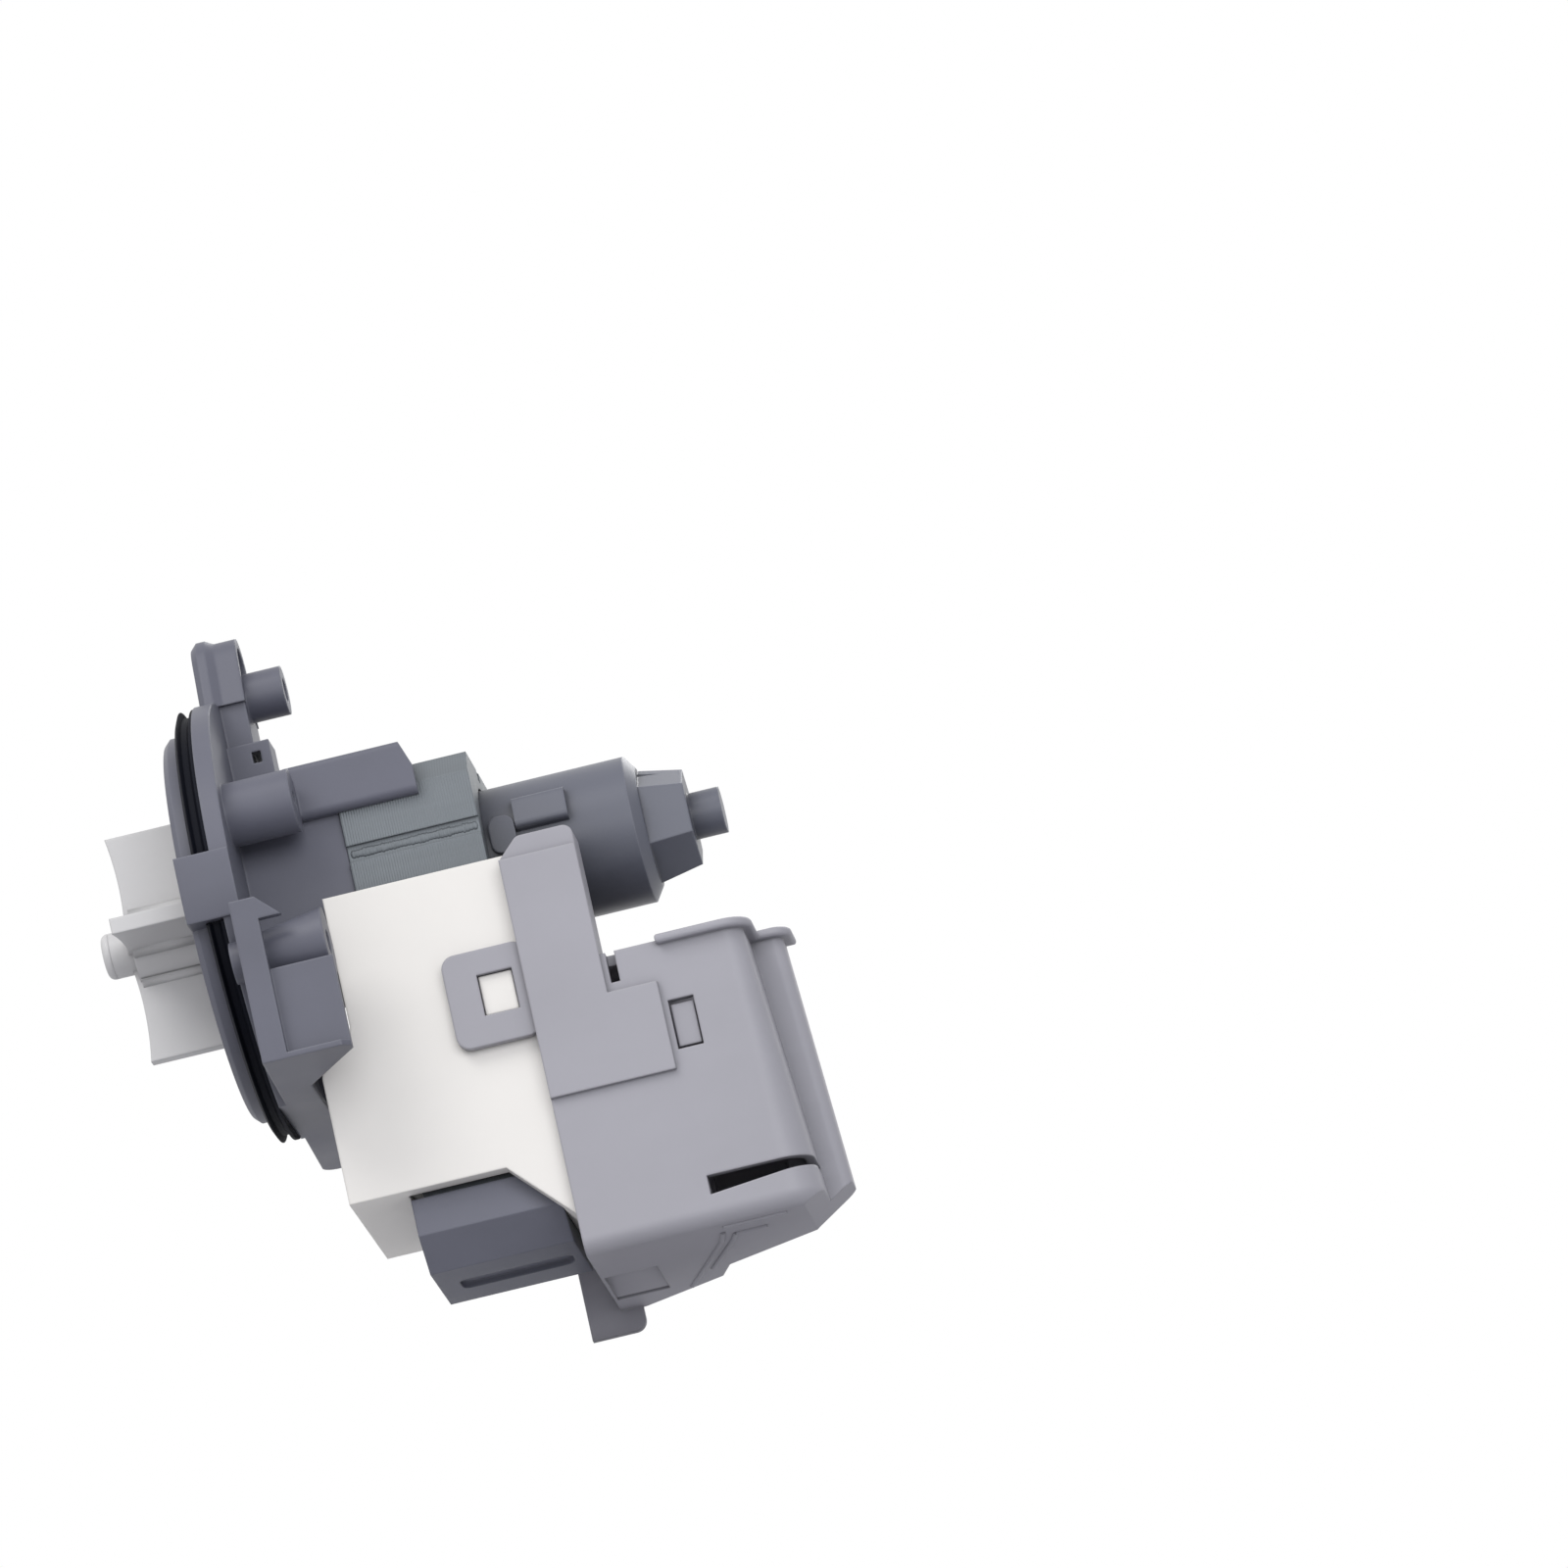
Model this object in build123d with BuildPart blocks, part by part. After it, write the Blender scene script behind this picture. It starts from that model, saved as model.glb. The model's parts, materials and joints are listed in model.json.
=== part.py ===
from build123d import *
import os
from math import cos, pi, radians, sin

os.makedirs("parts", exist_ok=True)

# Washer drain pump with a permanent magnet rotor, in millimetres.
# X is the pump axis, with the impeller at its low end. Z is up, away from the coils.
# The origin is on the axis, in the face of the flange that the gasket sits on.
# The near side, where the latch tab is, is at negative Y.

# Shared clearances
cut_overrun = 1.0
slip_gap = 0.1
body_gap = 0.4
running_gap = 0.05

# Flange moulding: spigot, plate and cavity
spigot_radius = 36.8
spigot_wall = 2.4
spigot_length = 6.75
spigot_edge_round = 1.0
plate_radius = 41.5
plate_thickness = 3.5
floor_thickness = 2.7
gasket_width = 3.5
gasket_proud = 4.4
gasket_groove_depth = 1.3
gasket_groove_width = 1.1

# Key that bridges the gasket on the near side
key_top = 4.4
key_bottom = -8.2
key_proud = 1.0
key_thickness = 2.2

# Mounting ears, three on one screw circle
ear_count = 3
first_ear_angle = 83.0
screw_circle_radius = 44.0
screw_hole_radius = 2.3
ear_tip_radius = 56.0
ear_tip_round = 6.0
ear_root_round = 9.0
ear_thickness = 8.6
ear_front = 0.0
ear_edge = 1.2
ear_rim_proud = 0.9
ear_rim_end = 2.8
ear_rim_slope = 1.6
ear_pocket_depth = 5.2
ear_pocket_wall = 1.8
ear_boss_radius = 4.7
ear_boss_end = 15.7

# Near bracket round the second ear, and the skirt below the flange
bracket_half_width = 49.6
bracket_top = -8.0
bracket_wall = 2.0
bracket_front = 2.3
bracket_strip_depth = 4.8
bracket_boss_radius = 6.5
near_seat_radius = 3.9
bracket_boss_end = 18.0
bracket_wall_end = 18.8
bracket_wall_top = -21.5
bracket_corner = 1.6
gusset_depth = 9.0
gusset_height = 4.2
skirt_bottom = -39.0
skirt_wall = 2.2
skirt_floor = 1.1
skirt_depth = 4.4
skirt_far_width = 44.5
skirt_far_round = 3.0

# Neck, arm and the two small fittings behind the plate
neck_half_width = 19.5
neck_top = 21.6
neck_wall = 2.1
neck_round = 4.0
arm_start = 14.6
arm_end = 38.3
arm_bottom = 11.2
arm_half_width = 22.6
arm_slope_length = 1.8
arm_slope_drop = 5.0
arm_edge_round = 1.2
arm_low_round = 1.6
post_radius = 6.0
post_start = 3.0
post_end = 16.2
post_side = 28.0
post_height = 13.6
post_hole_radius = 1.8
post_hole_depth = 9.0
web_half_width = 7.0
web_depth = 4.9
tab_end = 11.5
tab_slot_front = 7.9
tab_slot_end = 9.6
tab_slot_low = 28.6
tab_slot_high = 30.8
tab_top = 32.6
tab_half_width = 4.5

# Rotor chamber: a closed tube through the neck and the stator
chamber_radius = 13.9
chamber_wall = 1.1
collar_radius = 17.0
collar_thickness = 1.9
chamber_end = 77.2
chamber_chamfer_length = 1.8
chamber_chamfer_drop = 2.6
tail_end = 85.4
tail_root_radius = 11.0
tail_tip_radius = 9.3
tail_notch_length = 4.6
tail_notch_depth = 2.0
nub_radius = 4.4
nub_end = 91.3
chamber_rib_angle = 160.0
chamber_rib_start = 54.0
chamber_rib_end = 64.0
chamber_rib_width = 6.8
chamber_rib_height = 1.5
chamber_rib_round = 1.2
chamber_lug_start = 48.9
chamber_lug_end = 53.8
chamber_lug_height = 1.4
chamber_lug_half_height = 3.5
chamber_lug_proud = 1.2
chamber_lug_round = 1.9

# Shaft, bearings and the plate that closes the chamber
shaft_radius = 2.5
shaft_front = -19.5
bearing_outer_radius = 5.4
bearing_length = 7.0
bearing_cup_wall = 2.2
bearing_plate_radius = 20.5
bearing_plate_thickness = 1.9
end_float = 0.4
rear_bearing_front = 64.0
washer_thickness = 0.9
washer_radius = 4.6
ring_section_radius = 0.8
shaft_seal_radius = 8.2
shaft_seal_thickness = 1.6

# Rotor
magnet_radius = 11.9
magnet_overhang = 1.0
sleeve_radius = 5.2
sleeve_cap_radius = 9.6
sleeve_cap_thickness = 2.2

# Stator: core of 25 mm of laminations, yoke across the bottom
core_front = 23.0
core_stack = 25.0
pole_half_width = 20.6
pole_top = 18.2
pole_corner = 4.6
pole_bottom = -15.6
pole_bore_gap = 0.5
pole_slit_half_width = 1.6
pole_bridge = 0.8
weld_notch_high = 4.6
weld_notch_low = 1.4
weld_notch_depth = 0.7
leg_inner = 7.0
leg_outer = 18.6
leg_bottom = -63.6
yoke_height = 11.0

# Plastic shoe under the yoke
shoe_wall = 2.2
shoe_bottom = -76.5
shoe_flat_half_width = 14.0
shoe_corner_height = 6.0
shoe_slot_length = 21.5
shoe_slot_width = 8.0
shoe_slot_depth = 1.1

# Coils and the white jacket
bobbin_wall = 1.0
bobbin_flange = 1.1
winding_thickness = 3.4
jacket_side_gap = 0.6
jacket_wall = 1.3
jacket_top = -5.2
jacket_bottom = -62.7
jacket_front = 10.0
jacket_upper_front = 17.0
jacket_step_top = -31.0
jacket_step_bottom = -37.5
jacket_rear = 57.0
jacket_foot_front = 39.6
jacket_foot_rear = 51.6
jacket_foot_bottom = -75.4
nub_front = 42.2
nub_rear = 48.4
nub_top = -26.9
nub_low = -34.3
nub_proud = 1.4
nub_gap = 0.2

# Light grey terminal cover
cover_wall = 2.0
cover_side_wall = 2.6
cover_front = 50.6
cover_arm_end = 65.0
cover_far_arm_end = 59.4
cover_arm_top = -2.9
cover_arm_shoulder = -6.8
cover_arm_shoulder_length = 4.0
cover_arm_round = 1.8
cover_arm_width = 9.0
cover_saddle_gap = 1.6
cover_bottom = -82.6
cover_box_top = -28.4
cover_box_near_end = 91.5
cover_end_lean = 4.3
cover_box_side = -5.5
cover_corner_round = 3.5
cover_corner_low_round = 6.5
cover_roll = 3.0
cover_slope_start = 91.5
cover_slope_share = 0.62
cover_key_length = 5.9
cover_key_lean = 3.1
cover_key_wall = 1.5
cover_key_round = 2.0
cover_key_near = -12.5
cover_key_far = -3.0
cover_key_bottom = -78.8
cover_far_steps_share = ((0.56, 0.42), (0.505, 0.66), (0.12, 0.96))
tab_length = 13.4
latch_top = -22.0
latch_bottom = -40.0
latch_round = 2.6
latch_thickness = 2.0
plate_proud = 1.0
plate_rear = 74.3
plate_step_top = -36.0
plate_bottom = -52.9
window_front = 75.4
window_rear = 80.2
window_top = -39.9
window_bottom = -49.3
slot_front = 66.0
slot_rear = 67.7
slot_depth = 5.8
vent_front = 75.4
vent_top = -73.6
vent_bottom = -77.2
vent_rear_bottom = -75.2
lip_height = 1.7
lip_proud = 1.9
lip_front = 75.6
lip_edge = 0.7
foot_front = 44.2
foot_rear = 54.8
foot_top = -66.0
foot_bottom = -87.0
foot_round = 2.2
pocket_front = 51.2
pocket_rear = 61.2
pocket_near = -4.6
pocket_far = 16.0
pocket_depth = 1.5
pocket_far_depth = 0.3
pocket_groove_depth = 1.0
pocket_groove_width = 0.9

# Connector insert, blades and the parts that the cover hides
insert_floor_top = -50.0
insert_floor_thickness = 3.0
insert_gap = 0.3
latch_tooth_depth = 1.5
tooth_top_gap = 0.8
tooth_low_gap = 0.6
blade_width = 6.3
blade_thickness = 0.8
blade_spacing = 8.0
blade_top = -36.5
blade_bottom = -58.0
link_thickness = 0.8
link_width = 3.0
cutout_length = 9.0
cutout_radius = 1.5

# Impeller
impeller_radius = 21.8
impeller_front = -22.8
impeller_rear = -1.8
impeller_blade = 3.0
impeller_dish = 0.8
impeller_disc = 2.0
hub_radius = 6.6
hub_wall = 1.5
cap_radius = 4.35
cap_front = -27.4
cap_thickness = 1.6
cap_round = 1.3
hub_dome_front = -21.5
dog_half_angle = 32.0
dog_length = 6.0
dog_inner_gap = 0.3
stop_half_angle = 34.0
damper_thickness = 1.2


def save(part, name):
    # Give a finished piece its label and write it as one file.
    part.label = name
    export_step(part, "parts/" + name + ".step")


def around(radius, angle):
    # A place on a circle round the pump axis, as (Y, Z).
    return (radius * cos(radians(angle)), radius * sin(radians(angle)))


def block(x_range, y_range, z_range, mode=Mode.ADD):
    # A block between two faces on each axis.
    ranges = (x_range, y_range, z_range)
    with Locations(tuple(sum(low_high) / 2 for low_high in ranges)):
        Box(*[high - low for low, high in ranges], mode=mode)


def disc_x(x_low, x_high, radius, place=(0, 0), mode=Mode.ADD):
    # A cylinder along X from one X to another, centred at (Y, Z).
    middle = ((x_low + x_high) / 2, place[0], place[1])
    with Locations(Location(middle, (0, 90, 0))):
        Cylinder(radius, x_high - x_low, mode=mode)


# Places that follow from the driving dimensions
floor_front = plate_thickness - floor_thickness
neck_end = core_front - slip_gap
neck_bottom = -chamber_radius - neck_wall
cavity_radius = spigot_radius - spigot_wall
chamber_bore = chamber_radius - chamber_wall
collar_front = floor_front
collar_rear = collar_front + collar_thickness
gasket_outer = spigot_radius + gasket_proud
core_rear = core_front + core_stack
pole_bore = chamber_radius + pole_bore_gap
leg_middle = (leg_inner + leg_outer) / 2
leg_width = leg_outer - leg_inner
yoke_half_width = leg_outer
bobbin_hole = (core_stack + 2 * slip_gap, leg_width + 2 * slip_gap)
bobbin_size = (bobbin_hole[0] + 2 * bobbin_wall, bobbin_hole[1] + 2 * bobbin_wall)
winding_size = (bobbin_size[0] + 2 * winding_thickness, bobbin_size[1] + 2 * winding_thickness)
jacket_half_width = leg_middle + winding_size[1] / 2 + jacket_side_gap + jacket_wall
cover_inner_y = jacket_half_width + body_gap
cover_half_width = cover_inner_y + cover_side_wall
cover_key_end = cover_box_near_end + cover_key_length
lid_rear = window_front - cover_wall
insert_front = lid_rear - cover_wall
insert_rear = cover_box_near_end - cover_wall - insert_gap
insert_near = -cover_half_width + cover_wall + insert_gap
insert_far = cover_box_side - cover_wall - insert_gap
blade_x = (window_front + cover_box_near_end) / 2
blade_y = [(insert_near + insert_far) / 2 + side * blade_spacing / 2 for side in (-1, 1)]
magnet_front = core_front - magnet_overhang
magnet_rear = core_rear + magnet_overhang
sleeve_front = magnet_front - sleeve_cap_thickness
sleeve_rear = rear_bearing_front - end_float - washer_thickness
ear_angles = [first_ear_angle + 360.0 / ear_count * step for step in range(ear_count)]


# Flange moulding
def ear_outline(angle, inset=0.0):
    # The flat outline of one ear, from the plate out to its rounded tip.
    tip = around(ear_tip_radius - ear_tip_round, angle)
    root = around(plate_radius - ear_root_round, angle)
    with Locations(tip):
        Circle(ear_tip_round - inset)
    with Locations(root):
        Circle(ear_root_round - inset)
    make_hull()


with BuildPart() as pump_flange:
    disc_x(0, plate_thickness, plate_radius)
    plate_side = (-plate_radius - cut_overrun, plate_radius + cut_overrun)
    block(
        (-cut_overrun, plate_thickness + cut_overrun),
        plate_side,
        (skirt_bottom - plate_radius, skirt_bottom),
        mode=Mode.SUBTRACT,
    )
    disc_x(-spigot_length, 0, spigot_radius)
    front_rim = pump_flange.edges().filter_by(GeomType.CIRCLE).sort_by(Axis.X)[0]
    chamfer(front_rim, length=spigot_edge_round)
    disc_x(-spigot_length, floor_front, cavity_radius, mode=Mode.SUBTRACT)

    # Upper and far ear, each a hollow-backed lug with a rim round its front
    for angle in (ear_angles[0], ear_angles[2]):
        for x_low, x_high, inset_low, inset_high in (
            (ear_front, ear_front + ear_edge, ear_edge - ear_rim_proud, -ear_rim_proud),
            (ear_front + ear_edge, ear_rim_end, -ear_rim_proud, -ear_rim_proud),
            (ear_rim_end, ear_rim_end + ear_rim_slope, -ear_rim_proud, 0),
        ):
            with BuildSketch(Plane.YZ.offset(x_low)):
                ear_outline(angle, inset_low)
            with BuildSketch(Plane.YZ.offset(x_high)):
                ear_outline(angle, inset_high)
            loft(ruled=True)
        with BuildSketch(Plane.YZ.offset(ear_rim_end)):
            ear_outline(angle)
        extrude(amount=ear_front + ear_thickness - ear_rim_end)
        with BuildSketch(Plane.YZ.offset(ear_front + ear_thickness - ear_pocket_depth)):
            ear_outline(angle, ear_pocket_wall)
            Circle(plate_radius, mode=Mode.SUBTRACT)
        extrude(amount=ear_pocket_depth + cut_overrun, mode=Mode.SUBTRACT)
    with BuildSketch(Plane.YZ.offset(plate_thickness)):
        ear_outline(ear_angles[0], -ear_rim_proud)
        Circle(plate_radius, mode=Mode.INTERSECT)
    extrude(amount=ear_thickness, mode=Mode.SUBTRACT)
    for angle in ear_angles:
        boss_front = bracket_front if angle == ear_angles[1] else ear_front
        disc_x(boss_front, ear_boss_end, ear_boss_radius, around(screw_circle_radius, angle))
    disc_x(ear_front, bracket_front, near_seat_radius, around(screw_circle_radius, ear_angles[1]))

    # Near bracket: outer strip with its gusset, flared boss and recessed wall below it
    strip_end = bracket_front + bracket_strip_depth
    strip_y = (-bracket_half_width, -bracket_half_width + bracket_wall)
    recess_y = (strip_y[1], strip_y[1] + bracket_wall)
    block((bracket_front, strip_end), strip_y, (skirt_bottom, bracket_top))
    with BuildSketch(Plane.XZ.offset(bracket_half_width - bracket_wall)):
        with BuildLine():
            Polyline(
                (bracket_front, bracket_top),
                (strip_end, bracket_top),
                (bracket_front + gusset_depth, bracket_top - gusset_height),
                (bracket_front, bracket_top - gusset_height),
                close=True,
            )
        make_face()
    extrude(amount=bracket_wall)
    near_boss = around(screw_circle_radius, ear_angles[1])
    flare_middle = ((strip_end + bracket_boss_end) / 2, near_boss[0], near_boss[1])
    with Locations(Location(flare_middle, (0, 90, 0))):
        Cone(ear_boss_radius, bracket_boss_radius, bracket_boss_end - strip_end)
    block(
        (bracket_front, bracket_front + bracket_wall),
        (-bracket_half_width, near_boss[0]),
        (skirt_bottom, bracket_top),
    )
    block((bracket_front, bracket_wall_end), recess_y, (skirt_bottom, bracket_wall_top))

    # Skirt: the flat wall and floor that join the two lower ears
    with BuildSketch(Plane.YZ.offset(bracket_front)):
        with BuildLine():
            Polyline(
                (-bracket_half_width, skirt_bottom),
                (skirt_far_width, skirt_bottom),
                (skirt_far_width, skirt_bottom / 2),
                (-bracket_half_width, skirt_bottom / 2),
                close=True,
            )
        make_face()
    extrude(amount=skirt_wall)
    with BuildSketch(Plane.XY.offset(skirt_bottom)):
        with BuildLine():
            Polyline(
                (0, skirt_far_width - skirt_far_round),
                (bracket_front, -bracket_half_width),
                (bracket_wall_end - bracket_corner, -bracket_half_width),
                (bracket_wall_end, -bracket_half_width + bracket_corner),
                (bracket_wall_end, recess_y[1]),
                (plate_thickness + skirt_depth, -jacket_half_width),
                (plate_thickness + skirt_depth, skirt_far_width),
                (skirt_far_round, skirt_far_width),
            )
            CenterArc((skirt_far_round, skirt_far_width - skirt_far_round), skirt_far_round, 90, 90)
        make_face()
    extrude(amount=skirt_floor)

    # Neck round the rotor chamber, and the arm that reaches over the core
    with BuildSketch(Plane.YZ.offset(plate_thickness)):
        with Locations((0, (neck_top + neck_bottom) / 2)):
            RectangleRounded(2 * neck_half_width, neck_top - neck_bottom, neck_round)
    extrude(amount=neck_end - plate_thickness)
    with BuildSketch(Plane.XZ.offset(-arm_half_width)):
        with BuildLine():
            Polyline(
                (arm_start, arm_bottom),
                (arm_end, arm_bottom),
                (arm_end, neck_top - arm_slope_drop),
                (arm_end - arm_slope_length, neck_top),
                (arm_start, neck_top),
                close=True,
            )
        make_face()
    extrude(amount=2 * arm_half_width)
    for outermost in (0, -1):
        arm_top_edges = pump_flange.edges().filter_by(Axis.X).filter_by_position(
            Axis.Z, neck_top - slip_gap, neck_top + slip_gap
        )
        fillet(arm_top_edges.sort_by(Axis.Y)[outermost], radius=arm_edge_round)
        arm_low_edges = pump_flange.edges().filter_by(Axis.X).filter_by_position(
            Axis.Z, arm_bottom - slip_gap, arm_bottom + slip_gap
        )
        fillet(arm_low_edges.sort_by(Axis.Y)[outermost], radius=arm_low_round)
    block(
        (core_front - slip_gap, arm_end + cut_overrun),
        (-pole_half_width - slip_gap, pole_half_width + slip_gap),
        (neck_bottom - cut_overrun, pole_top + slip_gap),
        mode=Mode.SUBTRACT,
    )

    # Round post, upper web and hooked tab behind the plate
    disc_x(post_start, post_end, post_radius, (-post_side, post_height))
    block(
        (post_start, post_end - body_gap),
        (-post_side, -neck_half_width + neck_round),
        (post_height - post_radius / 2, post_height + post_radius / 2),
    )
    top_boss = around(screw_circle_radius, ear_angles[0])
    block(
        (plate_thickness, plate_thickness + web_depth),
        (top_boss[0] - web_half_width, top_boss[0] + web_half_width),
        (neck_top - neck_round, top_boss[1]),
    )
    block((plate_thickness, tab_end), (-tab_half_width, tab_half_width), (neck_top - neck_round, tab_top))
    block(
        (tab_slot_front, tab_slot_end),
        (-tab_half_width - cut_overrun, tab_half_width + cut_overrun),
        (tab_slot_low, tab_slot_high),
        mode=Mode.SUBTRACT,
    )

    # Key over the gasket on the near side
    key_outer = gasket_outer + key_proud
    with BuildSketch(Plane.YZ.offset(-spigot_length)):
        Circle(key_outer)
        Circle(spigot_radius - spigot_wall / 2, mode=Mode.SUBTRACT)
        with Locations((-key_outer, (key_top + key_bottom) / 2)):
            Rectangle(key_outer, key_top - key_bottom, mode=Mode.INTERSECT)
    extrude(amount=spigot_length + plate_thickness)
    with BuildSketch(Plane.YZ.offset(-gasket_width - slip_gap)):
        Circle(key_outer - key_thickness)
        Circle(spigot_radius, mode=Mode.SUBTRACT)
        with Locations((-key_outer, (key_top + key_bottom) / 2)):
            Rectangle(key_outer, key_top - key_bottom, mode=Mode.INTERSECT)
    extrude(amount=gasket_width + slip_gap, mode=Mode.SUBTRACT)

    # Bores: chamber, collar seat, screw holes and the post's blind hole
    disc_x(floor_front - cut_overrun, neck_end + cut_overrun, chamber_radius + slip_gap, mode=Mode.SUBTRACT)
    disc_x(floor_front - cut_overrun, collar_rear, collar_radius + slip_gap, mode=Mode.SUBTRACT)
    for angle in ear_angles:
        hole_place = around(screw_circle_radius, angle)
        hole_start = ear_front - cut_overrun
        disc_x(hole_start, bracket_boss_end + cut_overrun, screw_hole_radius, hole_place, Mode.SUBTRACT)
    post_place = (-post_side, post_height)
    disc_x(post_end - post_hole_depth, post_end + cut_overrun, post_hole_radius, post_place, Mode.SUBTRACT)
save(pump_flange.part, "pump_flange")


# Rubber gasket round the spigot, with two sealing lips and a thin bridge under the key
with BuildPart() as flange_gasket:
    with BuildSketch(Plane.XY):
        with BuildLine():
            lip_width = (gasket_width - gasket_groove_width) / 2
            Polyline(
                (0, spigot_radius),
                (-gasket_width, spigot_radius),
                (-gasket_width, gasket_outer - gasket_groove_depth),
                (-gasket_width + lip_width / 2, gasket_outer),
                (-gasket_width + lip_width, gasket_outer - gasket_groove_depth),
                (-lip_width, gasket_outer - gasket_groove_depth),
                (-lip_width / 2, gasket_outer),
                (0, gasket_outer),
                close=True,
            )
        make_face()
    revolve(axis=Axis.X)
    with BuildSketch(Plane.YZ.offset(-gasket_width - cut_overrun)):
        Circle(gasket_outer + cut_overrun)
        Circle(key_outer - key_thickness - slip_gap, mode=Mode.SUBTRACT)
        with Locations((-key_outer, (key_top + key_bottom) / 2)):
            Rectangle(key_outer, key_top - key_bottom + 2 * body_gap, mode=Mode.INTERSECT)
    extrude(amount=gasket_width + 2 * cut_overrun, mode=Mode.SUBTRACT)
save(flange_gasket.part, "flange_gasket")


# Rotor chamber, a cup with its open end at the flange
rear_bearing_end = rear_bearing_front + bearing_length
cup_outer = bearing_outer_radius + bearing_cup_wall
cup_end = rear_bearing_end + bearing_cup_wall
with BuildPart() as rotor_chamber:
    disc_x(collar_front, collar_rear, collar_radius)
    disc_x(collar_rear, chamber_end, chamber_radius)
    rear_rim = rotor_chamber.edges().filter_by(GeomType.CIRCLE).sort_by(Axis.X)[-1]
    rear_face = rotor_chamber.faces().filter_by(GeomType.PLANE).sort_by(Axis.X)[-1]
    chamfer(rear_rim, length=chamber_chamfer_drop, length2=chamber_chamfer_length, reference=rear_face)
    with BuildSketch(Plane.YZ.offset(chamber_end)):
        RegularPolygon(tail_root_radius, 6, rotation=30)
    with BuildSketch(Plane.YZ.offset(tail_end)):
        RegularPolygon(tail_tip_radius, 6, rotation=30)
    loft(ruled=True)
    disc_x(tail_end, nub_end, nub_radius)

    # Rounded rib and lug on the near side
    rib_place = around(chamber_radius - chamber_rib_height, chamber_rib_angle)
    with BuildSketch(Plane.YZ.offset(chamber_rib_start)):
        with Locations(Location((rib_place[0], rib_place[1]), chamber_rib_angle)):
            RectangleRounded(4 * chamber_rib_height, chamber_rib_width, chamber_rib_round)
    extrude(amount=chamber_rib_end - chamber_rib_start)
    with BuildSketch(Plane.XZ.offset(chamber_radius - chamber_lug_proud)):
        with Locations(((chamber_lug_start + chamber_lug_end) / 2, chamber_lug_height)):
            RectangleRounded(
                chamber_lug_end - chamber_lug_start, 2 * chamber_lug_half_height, chamber_lug_round
            )
    extrude(amount=2 * chamber_lug_proud)

    # Notch in the tail's upper near facet
    block(
        (chamber_end, chamber_end + tail_notch_length),
        (-tail_root_radius, -tail_notch_depth),
        (tail_root_radius - tail_notch_depth, tail_root_radius),
        mode=Mode.SUBTRACT,
    )

    # Inside: the chamber's bore, then the seat of the rear bearing's cup
    disc_x(collar_front - cut_overrun, rear_bearing_front, chamber_bore, mode=Mode.SUBTRACT)
    disc_x(rear_bearing_front - cut_overrun, cup_end, cup_outer, mode=Mode.SUBTRACT)
save(rotor_chamber.part, "rotor_chamber")


# Bearing plate that closes the chamber, with its plug and the front bearing's seat
plate_front = floor_front - bearing_plate_thickness
plug_rear = sleeve_front - washer_thickness - end_float
plug_radius = chamber_bore - slip_gap
front_bearing_front = plug_rear - bearing_length
ring_middle = (collar_front + plug_rear) / 2
with BuildPart() as bearing_plate:
    disc_x(plate_front, collar_front, bearing_plate_radius)
    disc_x(collar_front, plug_rear, plug_radius)
    plate_rim = bearing_plate.edges().filter_by(GeomType.CIRCLE).sort_by(Axis.X)[0]
    chamfer(plate_rim, length=bearing_plate_thickness / 2)
    disc_x(front_bearing_front, plug_rear + cut_overrun, bearing_outer_radius, mode=Mode.SUBTRACT)
    disc_x(plate_front - cut_overrun, plug_rear, shaft_radius + body_gap, mode=Mode.SUBTRACT)
    seal_rear = plate_front + shaft_seal_thickness
    disc_x(plate_front - cut_overrun, seal_rear, shaft_seal_radius, mode=Mode.SUBTRACT)
    with BuildSketch(Plane.YZ.offset(ring_middle - ring_section_radius)):
        Circle(plug_radius + cut_overrun)
        Circle(chamber_bore - 2 * ring_section_radius, mode=Mode.SUBTRACT)
    extrude(amount=2 * ring_section_radius, mode=Mode.SUBTRACT)
save(bearing_plate.part, "bearing_plate")

with BuildPart() as chamber_o_ring:
    with BuildSketch(Plane.XY):
        with Locations((ring_middle, chamber_bore - ring_section_radius)):
            Circle(ring_section_radius)
    revolve(axis=Axis.X)
save(chamber_o_ring.part, "chamber_o_ring")

with BuildPart() as shaft_seal:
    disc_x(plate_front, seal_rear, shaft_seal_radius)
    seal_bore = shaft_radius + running_gap
    disc_x(plate_front - cut_overrun, seal_rear + cut_overrun, seal_bore, mode=Mode.SUBTRACT)
save(shaft_seal.part, "shaft_seal")


# Bearings: the front one in the plate, the rear one in a rubber cup
def bearing(x_front):
    disc_x(x_front, x_front + bearing_length, bearing_outer_radius)
    disc_x(
        x_front - cut_overrun,
        x_front + bearing_length + cut_overrun,
        shaft_radius + running_gap,
        mode=Mode.SUBTRACT,
    )


with BuildPart() as front_bearing:
    bearing(front_bearing_front)
save(front_bearing.part, "front_bearing")

with BuildPart() as rear_bearing:
    bearing(rear_bearing_front)
save(rear_bearing.part, "rear_bearing")

with BuildPart() as rear_bearing_cup:
    disc_x(rear_bearing_front, cup_end, cup_outer)
    disc_x(rear_bearing_front - cut_overrun, rear_bearing_end, bearing_outer_radius, mode=Mode.SUBTRACT)
    cup_bore = shaft_radius + body_gap
    disc_x(rear_bearing_end - cut_overrun, cup_end + cut_overrun, cup_bore, mode=Mode.SUBTRACT)
save(rear_bearing_cup.part, "rear_bearing_cup")


# Rotor: shaft, magnet, sleeve and the two thrust washers
with BuildPart() as rotor_shaft:
    disc_x(shaft_front, rear_bearing_end, shaft_radius)
    chamfer(rotor_shaft.edges().filter_by(GeomType.CIRCLE), length=shaft_radius / 8)
save(rotor_shaft.part, "rotor_shaft")

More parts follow.
